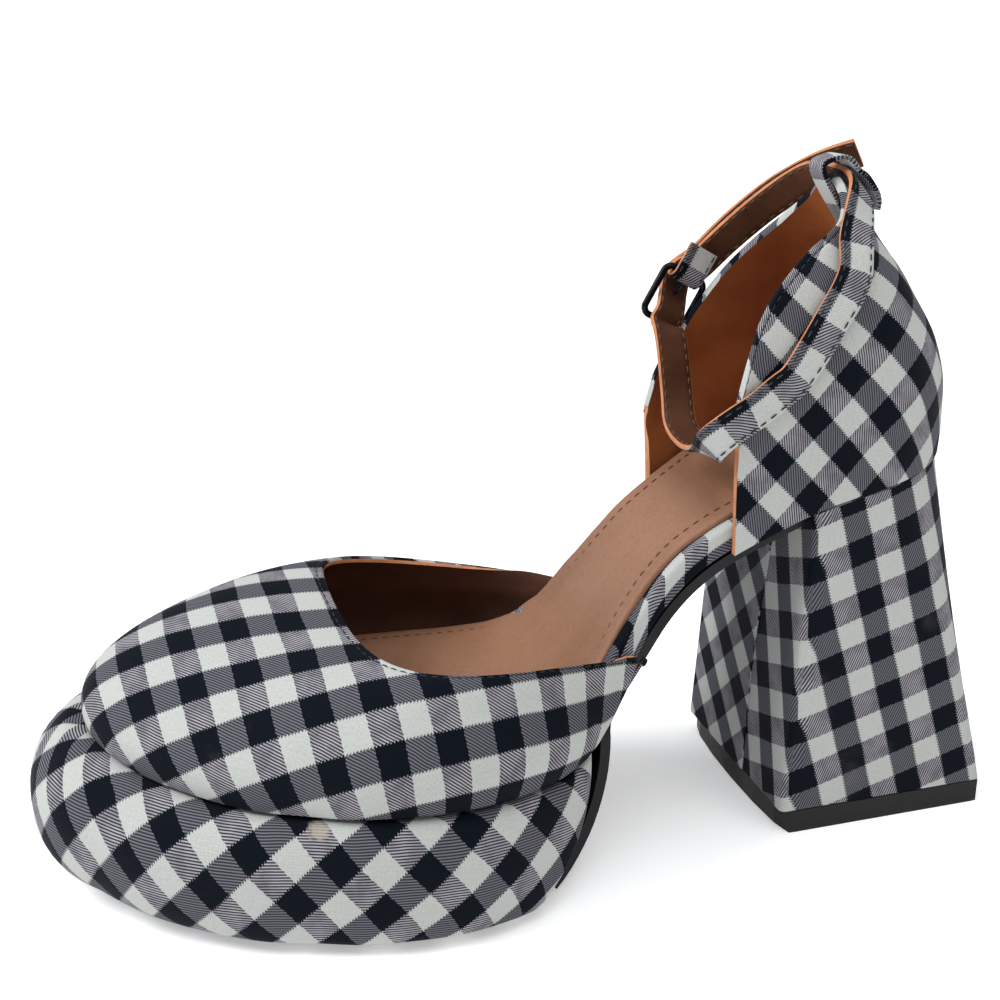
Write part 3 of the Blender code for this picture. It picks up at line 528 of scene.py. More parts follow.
def loop_stations():
    """Middle and half-width direction of the back loop, from under the strap over the counter's top."""
    beside = CLEAR + TAB_THICK / 2
    flat = beside + LOOP_SAG
    over = beside + CLEAR + STRAP_SEAT + STRAP_THICK + LOOP_SLACK
    inside = -(COUNTER_WALL + flat)

    def skin(up):
        return counter_skin(LOOP_TURN, counter_height(up))

    def normal(up):
        return counter_normal(LOOP_TURN, counter_height(up))

    points = [skin(up) + normal(up) * (flat + (over - flat) * stand) for up, stand in LOOP_OUTSIDE]
    out = normal(LOOP_TOP)
    crown = Vector((out.z, 0.0, -out.x)) * LOOP_CROWN
    for share in LOOP_CROSS:
        points.append(skin(LOOP_TOP) + out * (over + (inside - over) * share) + crown)
    points += [skin(up) + normal(up) * inside for up in LOOP_INSIDE]
    return [(point, Vector((0, 1, 0))) for point in points]


def between(stations, index, share):
    """Catmull-Rom point between two stations of a list of (point, direction)."""
    last = len(stations) - 1
    keys = [stations[max(0, min(last, index + k))] for k in (-1, 0, 1, 2)]
    t, t2, t3 = share, share ** 2, share ** 3
    weights = (-t + 2 * t2 - t3, 2 - 5 * t2 + 3 * t3, t + 4 * t2 - 3 * t3, t3 - t2)
    point = sum((key[0] * w for key, w in zip(keys, weights)), Vector()) / 2
    return point, keys[1][1].lerp(keys[2][1], share)


# Skins


class Skin:
    """Collects patches of quads, each with its cloth coordinates and finish, into one piece."""

    def __init__(self):
        self.verts = []
        self.faces = []
        self.cloth = []
        self.finish = []

    def patch(self, points, cloth, finish):
        """Grid of rows by columns of points, with cloth coordinates in checks."""
        points = np.asarray(points, float)
        rows, cols = points.shape[:2]
        base = len(self.verts)
        self.verts += points.reshape(-1, 3).tolist()
        flat = np.asarray(cloth, float).reshape(-1, 2).tolist()
        for r in range(rows - 1):
            for c in range(cols - 1):
                corners = (r * cols + c, r * cols + c + 1, (r + 1) * cols + c + 1, (r + 1) * cols + c)
                self.faces.append([base + k for k in corners])
                self.cloth += [flat[k] for k in corners]
                self.finish.append(finish)

    def cap(self, points, finish):
        base = len(self.verts)
        self.verts += [tuple(point) for point in points]
        self.faces.append(list(range(base, base + len(points))))
        self.cloth += [(0.0, 0.0)] * len(points)
        self.finish.append(finish)

    def build(self, name, finishes, sharp=50.0):
        mesh = bpy.data.meshes.new(name)
        mesh.from_pydata(self.verts, [], self.faces)
        layer = mesh.uv_layers.new(name="cloth")
        layer.data.foreach_set("uv", np.array(self.cloth, np.float32).ravel())
        for finish in finishes:
            mesh.materials.append(finish_of(finish))
        mesh.polygons.foreach_set("material_index", self.finish)
        body = bmesh.new()
        body.from_mesh(mesh)
        bmesh.ops.remove_doubles(body, verts=body.verts, dist=2e-6)
        bmesh.ops.dissolve_degenerate(body, dist=1e-7, edges=body.edges)
        bmesh.ops.recalc_face_normals(body, faces=body.faces)
        body.to_mesh(mesh)
        body.free()
        mesh.shade_smooth()
        mesh.set_sharp_from_angle(angle=math.radians(sharp))
        thing = bpy.data.objects.new(name, mesh)
        bpy.context.scene.collection.objects.link(thing)
        return thing


def unit(vectors):
    """The vectors at length 1."""
    return vectors / np.maximum(np.linalg.norm(vectors, axis=-1, keepdims=True), 1e-12)


def grid_normals(points, away_from):
    """Unit normals of a grid of points, turned away from a point inside it."""
    down = np.gradient(points, axis=0)
    across = np.gradient(points, axis=1)
    normals = unit(np.cross(across, down))
    if np.sum(normals * (points - np.array(away_from))) < 0:
        normals = -normals
    return normals


def refine(values, times):
    """A grid with more rows and columns, straight between the old ones."""
    for axis in (0, 1):
        count = values.shape[axis]
        places = np.linspace(0, count - 1, (count - 1) * times + 1)
        low = np.minimum(places.astype(int), count - 2)
        share = places - low
        shape = [1] * values.ndim
        shape[axis] = len(places)
        share = share.reshape(shape)
        values = np.take(values, low, axis) * (1 - share) + np.take(values, low + 1, axis) * share
    return values


def flatten(points, start, rounds=80):
    """Cloth coordinates of a grid of points, pressed flat with its lengths kept as well as can be."""
    rows, cols = points.shape[:2]
    index = np.arange(rows * cols).reshape(rows, cols)
    a, b, c, d = index[:-1, :-1], index[:-1, 1:], index[1:, 1:], index[1:, :-1]
    halves = ((a, b, c), (a, c, d), (a, b, d), (b, c, d))
    tris = np.concatenate([np.stack([k.ravel() for k in half], 1) for half in halves])
    corner = points.reshape(-1, 3)[tris]
    first = corner[:, 1] - corner[:, 0]
    second = corner[:, 2] - corner[:, 0]
    length = np.linalg.norm(first, axis=1)
    good = length > 1e-7
    tris, first, second, length = tris[good], first[good], second[good], length[good]
    ahead = first / length[:, None]
    part = np.sum(second * ahead, 1)
    rise = np.linalg.norm(second - ahead * part[:, None], axis=1)
    rest = np.zeros((len(tris), 3, 2))
    rest[:, 1, 0] = length
    rest[:, 2, 0] = part
    rest[:, 2, 1] = rise
    turn = np.sign(np.sum((start[tris[:, 1]] - start[tris[:, 0]])[:, ::-1] * (1, -1)
                          * (start[tris[:, 2]] - start[tris[:, 0]]), 1))
    rest[:, 2, 1] *= -np.median(turn)
    links = []
    total = np.zeros((rows * cols, rows * cols))
    for k in range(3):
        i, j = (k + 1) % 3, (k + 2) % 3
        one, two = rest[:, i] - rest[:, k], rest[:, j] - rest[:, k]
        cross = np.abs(one[:, 0] * two[:, 1] - one[:, 1] * two[:, 0])
        weight = np.clip(np.sum(one * two, 1) / np.maximum(cross, 1e-12), 0.05, 20)
        links.append((tris[:, i], tris[:, j], rest[:, i] - rest[:, j], weight))
        for p, q, sign in ((i, i, 1), (j, j, 1), (i, j, -1), (j, i, -1)):
            np.add.at(total, (tris[:, p], tris[:, q]), sign * weight)
    solve = np.linalg.pinv(total, hermitian=True)
    flat = start.copy()
    for _ in range(rounds):
        along = sum(w * np.sum((flat[i] - flat[j]) * r, 1) for i, j, r, w in links)
        aside = sum(w * (r[:, 0] * (flat[i] - flat[j])[:, 1] - r[:, 1] * (flat[i] - flat[j])[:, 0])
                    for i, j, r, w in links)
        size = np.maximum(np.hypot(along, aside), 1e-15)
        cos, sin = along / size, aside / size
        pull = np.zeros_like(flat)
        for i, j, r, w in links:
            turned = np.stack([cos * r[:, 0] - sin * r[:, 1], sin * r[:, 0] + cos * r[:, 1]], 1)
            np.add.at(pull, i, turned * w[:, None])
            np.add.at(pull, j, -turned * w[:, None])
        flat = solve @ pull
    return flat.reshape(rows, cols, 2)


def cut(lengths, grain, check):
    """Lengths on the flat cloth, in metres, as checks of its pattern, for a panel's grain."""
    x, y = lengths[..., 0] / check, lengths[..., 1] / check
    terms = (x, y, np.ones_like(x), x * x, x * y, y * y)
    return np.stack([sum(term * share for term, share in zip(terms, row)) for row in grain], -1)


def panel_cut(coarse, start, turn, grain, check):
    """Cloth coordinates, in checks, of a panel given by every second point of its grid."""
    lengths = refine(flatten(coarse, start.reshape(-1, 2)), 2)
    return cut(lengths * turn, grain, check)


def lengths_along(points):
    """Length from a line's start to each of its points."""
    steps = np.linalg.norm(np.diff(points, axis=0), axis=1)
    return np.concatenate([[0.0], np.cumsum(steps)])


FOLD_PLACES = (0.0045, 0.0034, 0.0026, 0.0021, 0.0018, 0.00155, 0.00135, 0.00115, 0.0009, 0.0006, 0.0003)
FOLD_SEAM = 0.00145          # top edge to the seam that holds its fold
FOLD_DEPTH = 0.00030
FOLD_HALF = 0.00028
SEAM_LIFT = 0.00005          # stitching above the bottom of its groove


def with_fold_rows(points, cloth):
    """Presses the rows of a grid together and adds rows near its top edge for the fold."""
    steps = np.linalg.norm(np.diff(points, axis=0), axis=2)
    run = np.concatenate([np.zeros((1, points.shape[1])), np.cumsum(steps, axis=0)])
    columns, marks = [], []
    for c in range(points.shape[1]):
        whole = run[-1, c]
        ends = whole - np.array((*FOLD_PLACES, 0.0)) * min(1.0, whole / (3 * FOLD_PLACES[0]))
        places = np.concatenate([run[:-1, c] * ends[0] / whole, ends])
        columns.append(np.stack([np.interp(places, run[:, c], points[:, c, k]) for k in range(3)], 1))
        marks.append(np.stack([np.interp(places, run[:, c], cloth[:, c, k]) for k in range(2)], 1))
    return np.stack(columns, 1), np.stack(marks, 1)


def wall(points, cloth, away_from, thickness, finishes, rim=0.0004, rim_steps=6):
    """Skin of a wall: outer face, rounded top edge, lining and plain other edges, and its top seam.

    finishes names the finishes of the outer face, of the two halves of the top edge, of the
    lining and of the front edges.
    """
    outer, edge_out, edge_in, lining, front = finishes
    points, cloth = with_fold_rows(points, cloth)
    normals = grid_normals(points, away_from)
    inside = points - normals * thickness
    distances = np.array((*FOLD_PLACES, 0.0))
    dip = np.exp(-((distances - FOLD_SEAM) / FOLD_HALF) ** 2) * FOLD_DEPTH
    first = len(points) - len(distances)
    points[first:] -= normals[first:] * dip[:, None, None]
    seam_row = first + int(np.argmax(dip))
    seam = (points[seam_row] + normals[seam_row] * SEAM_LIFT, normals[seam_row])
    skin = Skin()
    skin.patch(points, cloth, outer)
    skin.patch(inside[::-1], cloth[::-1], lining)
    up = unit(points[-1] - points[-2])
    rows, marks = [], []
    for k in range(rim_steps + 1):
        share = k / rim_steps
        rows.append(points[-1] + (inside[-1] - points[-1]) * share + up * rim * math.sin(math.pi * share))
        marks.append(cloth[-1] + np.array([0.0, share * 0.25]))
    half = rim_steps // 2
    skin.patch(rows[:half + 1], marks[:half + 1], edge_out)
    skin.patch(rows[half:], marks[half:], edge_in)
    skin.patch([points[0], inside[0]], [cloth[0], cloth[0]], outer)
    for side in (0, -1):
        skin.patch([points[:, side], inside[:, side]], [cloth[:, side], cloth[:, side]], front)
        skin.cap([row[side] for row in rows], edge_in)
    return skin, seam


def outline_normals(ring):
    """Inward plan directions of one side of an outline, from its back to its front."""
    ahead = unit(np.gradient(ring[:, :2], axis=0))
    side = 1 if ring[len(ring) // 2, 1] >= ring[0, 1] else -1
    return np.stack([ahead[:, 1], -ahead[:, 0]], 1) * side


def plate(count, edge, rings, top, bottom, grain, check, finish, rib_steps=8):
    """Skin of a flat piece whose covering runs round its side and over its edges.

    edge(share, side, level) is a point of its side; rings lists (level, inset) from below.
    """
    skin = Skin()
    borders = {}
    for side in (1, -1):
        grid = []
        for level, inset in rings:
            ring = np.array([edge(i / count, side, level) for i in range(count + 1)])
            if inset:
                inward = outline_normals(ring)
                inward[0] = (1.0, 0.0)
                inward[-1] = (-1.0, 0.0)
                ring[:, :2] += inward * inset
            grid.append(ring)
        grid = np.array(grid)
        middle = grid[len(rings) // 2]
        run = lengths_along(middle[::-1])[::-1] * side
        down = -np.cumsum(np.linalg.norm(np.diff(grid, axis=0, prepend=grid[:1]), axis=2), axis=0)
        lengths = np.stack([np.broadcast_to(run, down.shape), down], -1)
        skin.patch(grid, cut(lengths, grain, check), finish)
        borders[side] = (grid[0], grid[-1])
    for which, height in ((0, bottom), (1, top)):
        left, right = borders[1][which], borders[-1][which]
        share = np.linspace(0, 1, rib_steps + 1)[:, None, None]
        sheet = left[None] * (1 - share) + right[None] * share
        inner = sheet[1:-1]
        inner[..., 2] = [[height(x) for x in row] for row in inner[..., 0]]
        skin.patch(sheet, cut(sheet[..., :2], grain, check), finish)
    return skin


# Finishes


class Value:
    """A shader socket that works in Python expressions."""

    def __init__(self, finish, socket):
        self.finish = finish
        self.socket = socket

    def math(self, operation, *others):
        return self.finish.node("ShaderNodeMath", {"operation": operation}, {
            i: value for i, value in enumerate((self, *others))})

    def __add__(self, other):
        return self.math("ADD", other)

    def __radd__(self, other):
        return self.math("ADD", other)

    def __mul__(self, other):
        return self.math("MULTIPLY", other)

    def __rmul__(self, other):
        return self.math("MULTIPLY", other)

    def __sub__(self, other):
        return self.math("SUBTRACT", other)

    def __rsub__(self, other):
        return (self * -1.0) + other

    def __gt__(self, other):
        return self.math("GREATER_THAN", other)

    def fraction(self):
        return self.math("FRACT")

    def sine(self):
        return self.math("SINE")

    def power(self, exponent):
        return self.math("POWER", exponent)

    def ramp(self, low, high):
        """0 below low, 1 above high and smooth between them."""
        return self.finish.node("ShaderNodeMapRange", {"interpolation_type": "SMOOTHSTEP"},
                                {"Value": self, "From Min": low, "From Max": high})


class Finish:
    """Nodes of one material."""

    def __init__(self, name, colour, roughness):
        self.material = bpy.data.materials.new(name)
        self.material.use_nodes = True
        self.tree = self.material.node_tree
        self.shader = self.tree.nodes["Principled BSDF"]
        self.material.diffuse_color = (*colour, 1.0)
        self.shader.inputs["Base Color"].default_value = (*colour, 1.0)
        self.shader.inputs["Roughness"].default_value = roughness

    def set(self, socket, value):
        """Feed a socket with a value, a link or a constant."""
        if isinstance(value, Value):
            self.tree.links.new(value.socket, socket)
        elif socket.type == "RGBA" and len(value) == 3:
            socket.default_value = (*value, 1.0)
        else:
            socket.default_value = value

    def node(self, kind, settings=None, inputs=None, output=0):
        node = self.tree.nodes.new(kind)
        for key, value in (settings or {}).items():
            setattr(node, key, value)
        for key, value in (inputs or {}).items():
            self.set(node.inputs[key], value)
        return Value(self, node.outputs[output])

    def blend(self, factor, first, second):
        """First colour where the factor is 0 and second where it is 1."""
        return self.node("ShaderNodeMix", {"data_type": "RGBA"}, {0: factor, 6: first, 7: second}, 2)

    def noise(self, place, scale, detail=3.0):
        return self.node("ShaderNodeTexNoise", {}, {"Vector": place, "Scale": scale, "Detail": detail}, 0)

    def position(self):
        return self.node("ShaderNodeTexCoord", {}, {}, 3)

    def cloth_place(self):
        return self.node("ShaderNodeUVMap", {"uv_map": "cloth"})

    def parts(self, vector):
        split = self.node("ShaderNodeSeparateXYZ", {}, {0: vector})
        outputs = split.socket.node.outputs
        return [Value(self, outputs[k]) for k in range(3)]

    def relief(self, height, depth, strength=1.0):
        inputs = {"Height": height, "Distance": depth, "Strength": strength}
        self.set(self.shader.inputs["Normal"], self.node("ShaderNodeBump", {}, inputs))

    def finish(self, **sockets):
        for key, value in sockets.items():
            self.set(self.shader.inputs[key.replace("_", " ").title()], value)
        return self.material


LINES_PER_CHECK = 8.5        # slanting lines of the twill in one check
LINE_SLOPE = 0.8             # how far a line drops over one check, in checks
TOOTH_DEPTH = 0.085          # depth of the steps along a row's edge, in checks
COLUMN_SWAY = 0.16           # how far the columns wander, in checks
ROW_SWAY = 0.14
COLUMN_RIPPLE = 0.012        # depth of the ripples along a column's edge, in checks
THREAD_STRETCH = (30.0, 9.0, 1.0)
WEAVE_DEPTH = 0.00008
GRIME_SHARE = 0.16
STAIN_SHARE = 0.62


def gingham(name, colours, soil=None):
    """Twill-woven gingham: white and black checks, and slanting lines where the two cross."""
    cloth = Finish(name, colours.grey, 0.85)
    place = cloth.cloth_place()
    u, v, _ = cloth.parts(place)
    u = u + (cloth.noise(place, 0.55, 2.0) - 0.5) * COLUMN_SWAY
    v = v + (cloth.noise(place, 0.42, 2.0) - 0.5) * ROW_SWAY
    teeth = (u * LINES_PER_CHECK).fraction() * TOOTH_DEPTH
    black_row = ((v + teeth) * 0.5).fraction() > 0.5
    black_column = ((u + (v * 22.0).sine() * COLUMN_RIPPLE) * 0.5).fraction() > 0.5
    uneven = cloth.noise(place, 1.3, 3.0)
    line = ((v - u * LINE_SLOPE) * (LINES_PER_CHECK * 2 * math.pi)).sine() * 0.5 + 0.5
    line = line.ramp(0.22, 0.78)
    threads = cloth.node("ShaderNodeVectorMath", {"operation": "MULTIPLY"}, {0: place, 1: THREAD_STRETCH})
    thread = cloth.noise(threads, 1.0, 2.0)
    fade = uneven.ramp(0.35, 0.7)
    light = cloth.blend(fade, colours.line_light, colours.line_dull)
    lighter = cloth.blend(line, colours.line_dark, light)
    darker = cloth.blend(line, colours.line_dark, colours.line_grey)
    white = cloth.blend(thread.ramp(0.3, 0.8), colours.white, colours.white_shade)
    black = cloth.blend(thread.ramp(0.5, 0.9), colours.black, colours.black_shade)
    colour = cloth.blend(black_column, cloth.blend(black_row, white, darker),
                         cloth.blend(black_row, lighter, black))
    grime = cloth.noise(cloth.position(), 38.0, 4.0).ramp(0.62, 0.85) * GRIME_SHARE
    colour = cloth.blend(grime, colour, colours.grime)
    if soil:
        across = (u - soil[0]).power(2.0) + (v - soil[1]).power(2.0)
        ragged = across + (cloth.noise(place, 6.0, 4.0) - 0.5) * 0.35
        stain = (1.0 - ragged.ramp(0.02, 0.20)) * STAIN_SHARE
        colour = cloth.blend(stain, colour, colours.stain)
    cloth.relief(line * 0.6 + thread * 0.5, WEAVE_DEPTH, 0.7)
    rough = thread * 0.12 + 0.78
    cloth.set(cloth.shader.inputs["Sheen Weight"], 0.02)
    cloth.set(cloth.shader.inputs["Sheen Roughness"], 0.5)
    cloth.set(cloth.shader.inputs["Specular IOR Level"], 0.06)
    return cloth.finish(base_color=colour, roughness=rough)


def leather(name, colour, shade, roughness, grain, mottle):
    """Smooth or napped leather with pores and uneven dye."""
    hide = Finish(name, colour, roughness)
    place = hide.position()
    cloud = hide.noise(place, mottle, 5.0).ramp(0.32, 0.72)
    fine = hide.noise(place, grain, 4.0)
    pores = hide.node("ShaderNodeTexVoronoi", {"feature": "DISTANCE_TO_EDGE"},
                      {"Vector": place, "Scale": grain * 1.3}).ramp(0.0, 0.12)
    tone = hide.blend(cloud, colour, shade)
    tone = hide.blend(fine.ramp(0.45, 0.8) * 0.35, tone, [c * 0.55 for c in colour])
    hide.relief(pores * 0.5 + fine, 0.00006, 0.6)
    hide.set(hide.shader.inputs["Specular IOR Level"], 0.55 - 0.5 * roughness)
    return hide.finish(base_color=tone, roughness=fine * 0.2 + (roughness - 0.1))


def rubber(name, colours):
    """Dull black rubber with fine ribs on its tread and dust in its grain."""
    tread = Finish(name, colours.rubber, 0.6)
    place = tread.position()
    x, y, z = tread.parts(place)
    ribs = ((x * 900.0) + (y * 520.0).sine() * 1.2).sine()
    floor = 1.0 - z.ramp(0.0002, 0.0006)
    grain = tread.noise(place, 900.0, 3.0)
    dust = tread.noise(place, 60.0, 5.0).ramp(0.5, 0.8)
    tread.relief(ribs * floor * 0.6 + grain * 0.4, 0.00015, 0.7)
    tread.set(tread.shader.inputs["Specular IOR Level"], 0.25)
    colour = tread.blend(dust * 0.2, colours.rubber, colours.rubber_dust)
    return tread.finish(base_color=colour, roughness=dust * 0.2 + 0.5)


def lacquered_metal(name, colours):
    steel = Finish(name, colours.metal, 0.25)
    place = steel.position()
    scuff = steel.noise(place, 700.0, 4.0)
    steel.set(steel.shader.inputs["Coat Roughness"], 0.12)
    steel.relief(scuff, 0.00002, 0.4)
    colour = steel.blend(scuff.ramp(0.62, 0.75) * 0.4, colours.metal, colours.metal_worn)
    return steel.finish(base_color=colour, roughness=scuff * 0.25 + 0.14, metallic=1.0)


def thread_finish(name, colour):
    spun = Finish(name, colour, 0.7)
    place = spun.position()
    twist = spun.noise(place, 2600.0, 2.0)
    tone = spun.blend(twist.ramp(0.4, 0.7) * 0.4, colour, [c * 0.5 for c in colour])
    spun.relief(twist, 0.00004, 0.6)
    return spun.finish(base_color=tone)


# Settings


def colour_property(name, text, value):
    return FloatVectorProperty(name=name, description=text, default=value, subtype="COLOR",
                               size=3, min=0, max=1)


def length_property(name, text, value):
    return FloatProperty(name=name, description=text, default=value, unit="LENGTH", min=0.0, precision=5)


class ShoeColours(bpy.types.PropertyGroup):
    """Colours of the shoe's cloth, leathers and trims."""

    white: colour_property("White", "White checks", (0.45, 0.465, 0.445))
    white_shade: colour_property("White shade", "Threads of the white checks", (0.37, 0.375, 0.355))
    black: colour_property("Black", "Black checks", (0.0020, 0.0038, 0.0075))
    black_shade: colour_property("Black shade", "Threads of the black checks", (0.005, 0.007, 0.011))
    grey: colour_property("Grey", "Cloth seen from afar", (0.25, 0.25, 0.27))
    line_light: colour_property("Light lines", "Light lines of the lighter hatch", (0.36, 0.345, 0.37))
    line_dull: colour_property("Dull lines", "Light lines where the hatch is dull", (0.22, 0.21, 0.235))
    line_grey: colour_property("Grey lines", "Light lines of the darker hatch", (0.135, 0.135, 0.155))
    line_dark: colour_property("Dark lines", "Dark lines of the hatched checks", (0.022, 0.022, 0.028))
    grime: colour_property("Grime", "Handling marks on the cloth", (0.34, 0.31, 0.27))
    stain: colour_property("Stain", "Small stain on the platform", (0.42, 0.37, 0.30))
    sock: colour_property("Sock", "Leather underfoot", (0.27, 0.135, 0.078))
    sock_shade: colour_property("Sock shade", "Darker dye of that leather", (0.20, 0.092, 0.050))
    lining: colour_property("Lining", "Napped lining of the counter", (0.36, 0.11, 0.034))
    lining_shade: colour_property("Lining shade", "Darker nap of that lining", (0.23, 0.062, 0.019))
    vamp_lining: colour_property("Vamp lining", "Lining of the vamp", (0.085, 0.034, 0.020))
    vamp_lining_shade: colour_property("Vamp lining shade", "Its darker nap", (0.050, 0.019, 0.011))
    strap_lining: colour_property("Strap lining", "Leather behind the strap", (0.078, 0.026, 0.009))
    strap_lining_shade: colour_property("Strap lining shade", "Its darker dye", (0.050, 0.016, 0.006))
    edge: colour_property("Edge", "Raw leather edges", (0.52, 0.22, 0.10))
    edge_shade: colour_property("Edge shade", "Darker places of those edges", (0.42, 0.15, 0.06))
    thread: colour_property("Thread", "Stitching in the leather", (0.10, 0.036, 0.016))
    thread_dark: colour_property("Dark thread", "Stitching in the cloth", (0.012, 0.011, 0.013))
    rubber: colour_property("Rubber", "Outsole and top lift", (0.0030, 0.0030, 0.0038))
    rubber_dust: colour_property("Dust", "Dust on the rubber", (0.015, 0.014, 0.013))
    metal: colour_property("Metal", "Lacquer of the buckle", (0.012, 0.013, 0.016))
    metal_worn: colour_property("Worn metal", "Lacquer where it is worn", (0.10, 0.11, 0.13))
    floor: colour_property("Floor", "Floor and backdrop", (0.93, 0.93, 0.93))


class ShoeSizes(bpy.types.PropertyGroup):
    """Sizes of the shoe's pattern and stitching."""

    check: length_property("Check", "Width of one check of the gingham", 0.0070)
    stitch: length_property("Stitch", "Length of one stitch", 0.0021)
    stitch_gap: length_property("Stitch gap", "Gap between stitches", 0.0009)
    thread: length_property("Thread", "Thickness of the thread", 0.00045)
    sock_stitch: length_property("Sock stitching", "Edge of the sock to its stitching", 0.0042)


class ShoeSettings(bpy.types.PropertyGroup):
    """Everything that a user would change."""

    colours: PointerProperty(type=ShoeColours)
    sizes: PointerProperty(type=ShoeSizes)


def settings():
    return bpy.context.scene.shoe_settings


LEATHERS = {
    # finish: colour, roughness, grain and mottle
    "sock_leather": ("sock", 0.52, 900.0, 26.0),
    "counter_lining": ("lining", 0.82, 1500.0, 42.0),
    "vamp_lining": ("vamp_lining", 0.85, 1500.0, 40.0),
    "strap_lining": ("strap_lining", 0.7, 1300.0, 60.0),
    "raw_edge": ("edge", 0.62, 1600.0, 300.0),
}
PLATFORM_STAIN = (3.7, 2.2)  # place of the stain on the platform's cloth, in checks


def finish_of(name):
    """Material of the named finish, made when it is first asked for."""
    if name in bpy.data.materials:
        return bpy.data.materials[name]
    c = settings().colours
    if name in LEATHERS:
        colour, *surface = LEATHERS[name]
        return leather(name, tuple(getattr(c, colour)), tuple(getattr(c, colour + "_shade")), *surface)
    makers = {
        "gingham": lambda: gingham(name, c),
        "gingham_platform": lambda: gingham(name, c, PLATFORM_STAIN),
        "tan_thread": lambda: thread_finish(name, tuple(c.thread)),
        "dark_thread": lambda: thread_finish(name, tuple(c.thread_dark)),
        "black_rubber": lambda: rubber(name, c),
        "black_lacquer": lambda: lacquered_metal(name, c),
    }
    return makers[name]()


def place_piece(thing, node):
    """Ties a piece to the shoe's body and, if it has one, hides the node that it replaces."""
    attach(thing, "root")
    if node:
        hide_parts(node)


# Uppers


THROAT_SMOOTHING = 50


def vamp_grid(columns=126, rises=26):
    """Outer face of the vamp, from its feather line up, its columns smoothed over the throat."""
    shares = np.linspace(0, 1, columns + 1)
    lows = [feather_point(share) for share in shares]
    highs = np.array([throat_point(share) for share in shares])
    for _ in range(THROAT_SMOOTHING):
        highs[1:-1] = (highs[:-2] + 2 * highs[1:-1] + highs[2:]) / 4
    grid = []
    for k in range(rises + 1):
        lift = k / rises
        grid.append([vamp_point(low, Vector(high), lift) for low, high in zip(lows, highs)])
    return np.array(grid)


def vamp_cloth(points, check):
    """Cloth coordinates of the vamp, pressed flat from its plan spread by its height."""
    coarse = points[::2, ::2]
    centre = np.array([x_of(BALL_PLACE), 0.0])
    out = unit(coarse[:, :, :2] - centre)
    drop = (coarse[-1:, :, 2] - coarse[:, :, 2])[..., None]
    start = coarse[:, :, :2] + out * drop
    return panel_cut(coarse, start, (1, -1), VAMP_CUT, check)


COUNTER_SPREAD = 0.09        # first guess of half the length of its cloth, for pressing it flat
COUNTER_MIDDLE = (0.012, 0.0, SEAT_HEIGHT + 0.03)


def counter_grid(columns=120, rises=24):
    turns = np.linspace(-1, 1, columns + 1)
    return np.array([[counter_point(turn, k / rises) for turn in turns] for k in range(rises + 1)])


def counter_cloth(points, check):
    """Cloth coordinates of the counter, pressed flat from its turn and height."""
    coarse = points[::2, ::2]
    turns = np.linspace(-1, 1, coarse.shape[1])
    rise = coarse[:, :, 2] - SEAT_HEIGHT
    start = np.stack([np.broadcast_to(turns * COUNTER_SPREAD, rise.shape), rise], -1)
    return panel_cut(coarse, start, (-1, -1), COUNTER_CUT, check)


class SHOE_OT_vamp(bpy.types.Operator):
    """Vamp: gingham outside, napped lining inside, folded top edge"""

    bl_idname = "shoe.vamp"
    bl_label = "Vamp"

    def execute(self, context):
        points = vamp_grid()
        cloth = vamp_cloth(points, settings().sizes.check)
        middle = (x_of(BALL_PLACE), 0.0, PLATFORM_HEIGHT)
        skin, seam = wall(points, cloth, middle, VAMP_WALL, (0, 0, 2, 1, 0))
        thing = skin.build("vamp_upper", ("gingham", "vamp_lining", "raw_edge"))
        place_piece(thing, "vamp")
        sew_seam("vamp_top_seam", seam)
        return {"FINISHED"}


class SHOE_OT_counter(bpy.types.Operator):
    """Counter: bias-cut gingham outside, warm lining inside, cloth turned over its top edge"""

    bl_idname = "shoe.counter"
    bl_label = "Counter"

    def execute(self, context):
        points = counter_grid()
        cloth = counter_cloth(points, settings().sizes.check)
        skin, seam = wall(points, cloth, COUNTER_MIDDLE, COUNTER_WALL, (0, 0, 0, 1, 2))
        thing = skin.build("counter_upper", ("gingham", "counter_lining", "raw_edge"))
        place_piece(thing, "counter")
        sew_seam("counter_top_seam", seam)
        return {"FINISHED"}


# Bottom

# Rings round the side of each flat piece, from below: level and distance in from its edge.
BOARD_RINGS = (
    (0.0, 0.004),
    (0.0, 0.0005),
    (0.06, 0.0),
    (0.30, 0.0),
    (0.55, 0.0),
    (0.80, 0.0),
    (0.93, 0.0002),
    (0.985, 0.0006),
    (1.0, 0.0012),
    (1.0, 0.0025),
    (1.0, 0.0045),
)
SOCK_RINGS = (
    (0.0, 0.0002),
    (0.10, 0.0),
    (0.60, 0.0),
    (0.88, 0.0002),
    (1.0, 0.0007),
    (1.0, 0.0020),
)
PLATFORM_RINGS = (
    (0.0, 0.006),
    (0.0, 0.0015),
    (0.012, 0.0004),
    *((k / 16, 0.0) for k in range(1, 16)),
    (0.97, 0.0003),
    (0.993, 0.0008),
    (1.0, 0.0016),
    (1.0, 0.006),
)


def bed_edge(inset, lower, upper):
    """Side of a flat piece on the bed as a function of share, side and level."""
    back = BED_BACK + inset
    front = x_of(1) - inset

    def edge(share, side, level):
        x = eased(back, front, share)
        y = outline_side(x, side, back, front, -inset)
        return x, y, lower(x) + (upper(x) - lower(x)) * level

    return edge


class SHOE_OT_board(bpy.types.Operator):
    """Insole board covered in gingham"""

    bl_idname = "shoe.board"
    bl_label = "Insole board"

    def execute(self, context):
        def lower(x):
            return feather_height(x) + CLEAR

        edge = bed_edge(BOARD_INSET, lower, bed_top)
        skin = plate(170, edge, BOARD_RINGS, bed_top, lower, BOARD_CUT, settings().sizes.check, 0)
        place_piece(skin.build("insole_board_cover", ["gingham"]), "insole_board")
        return {"FINISHED"}


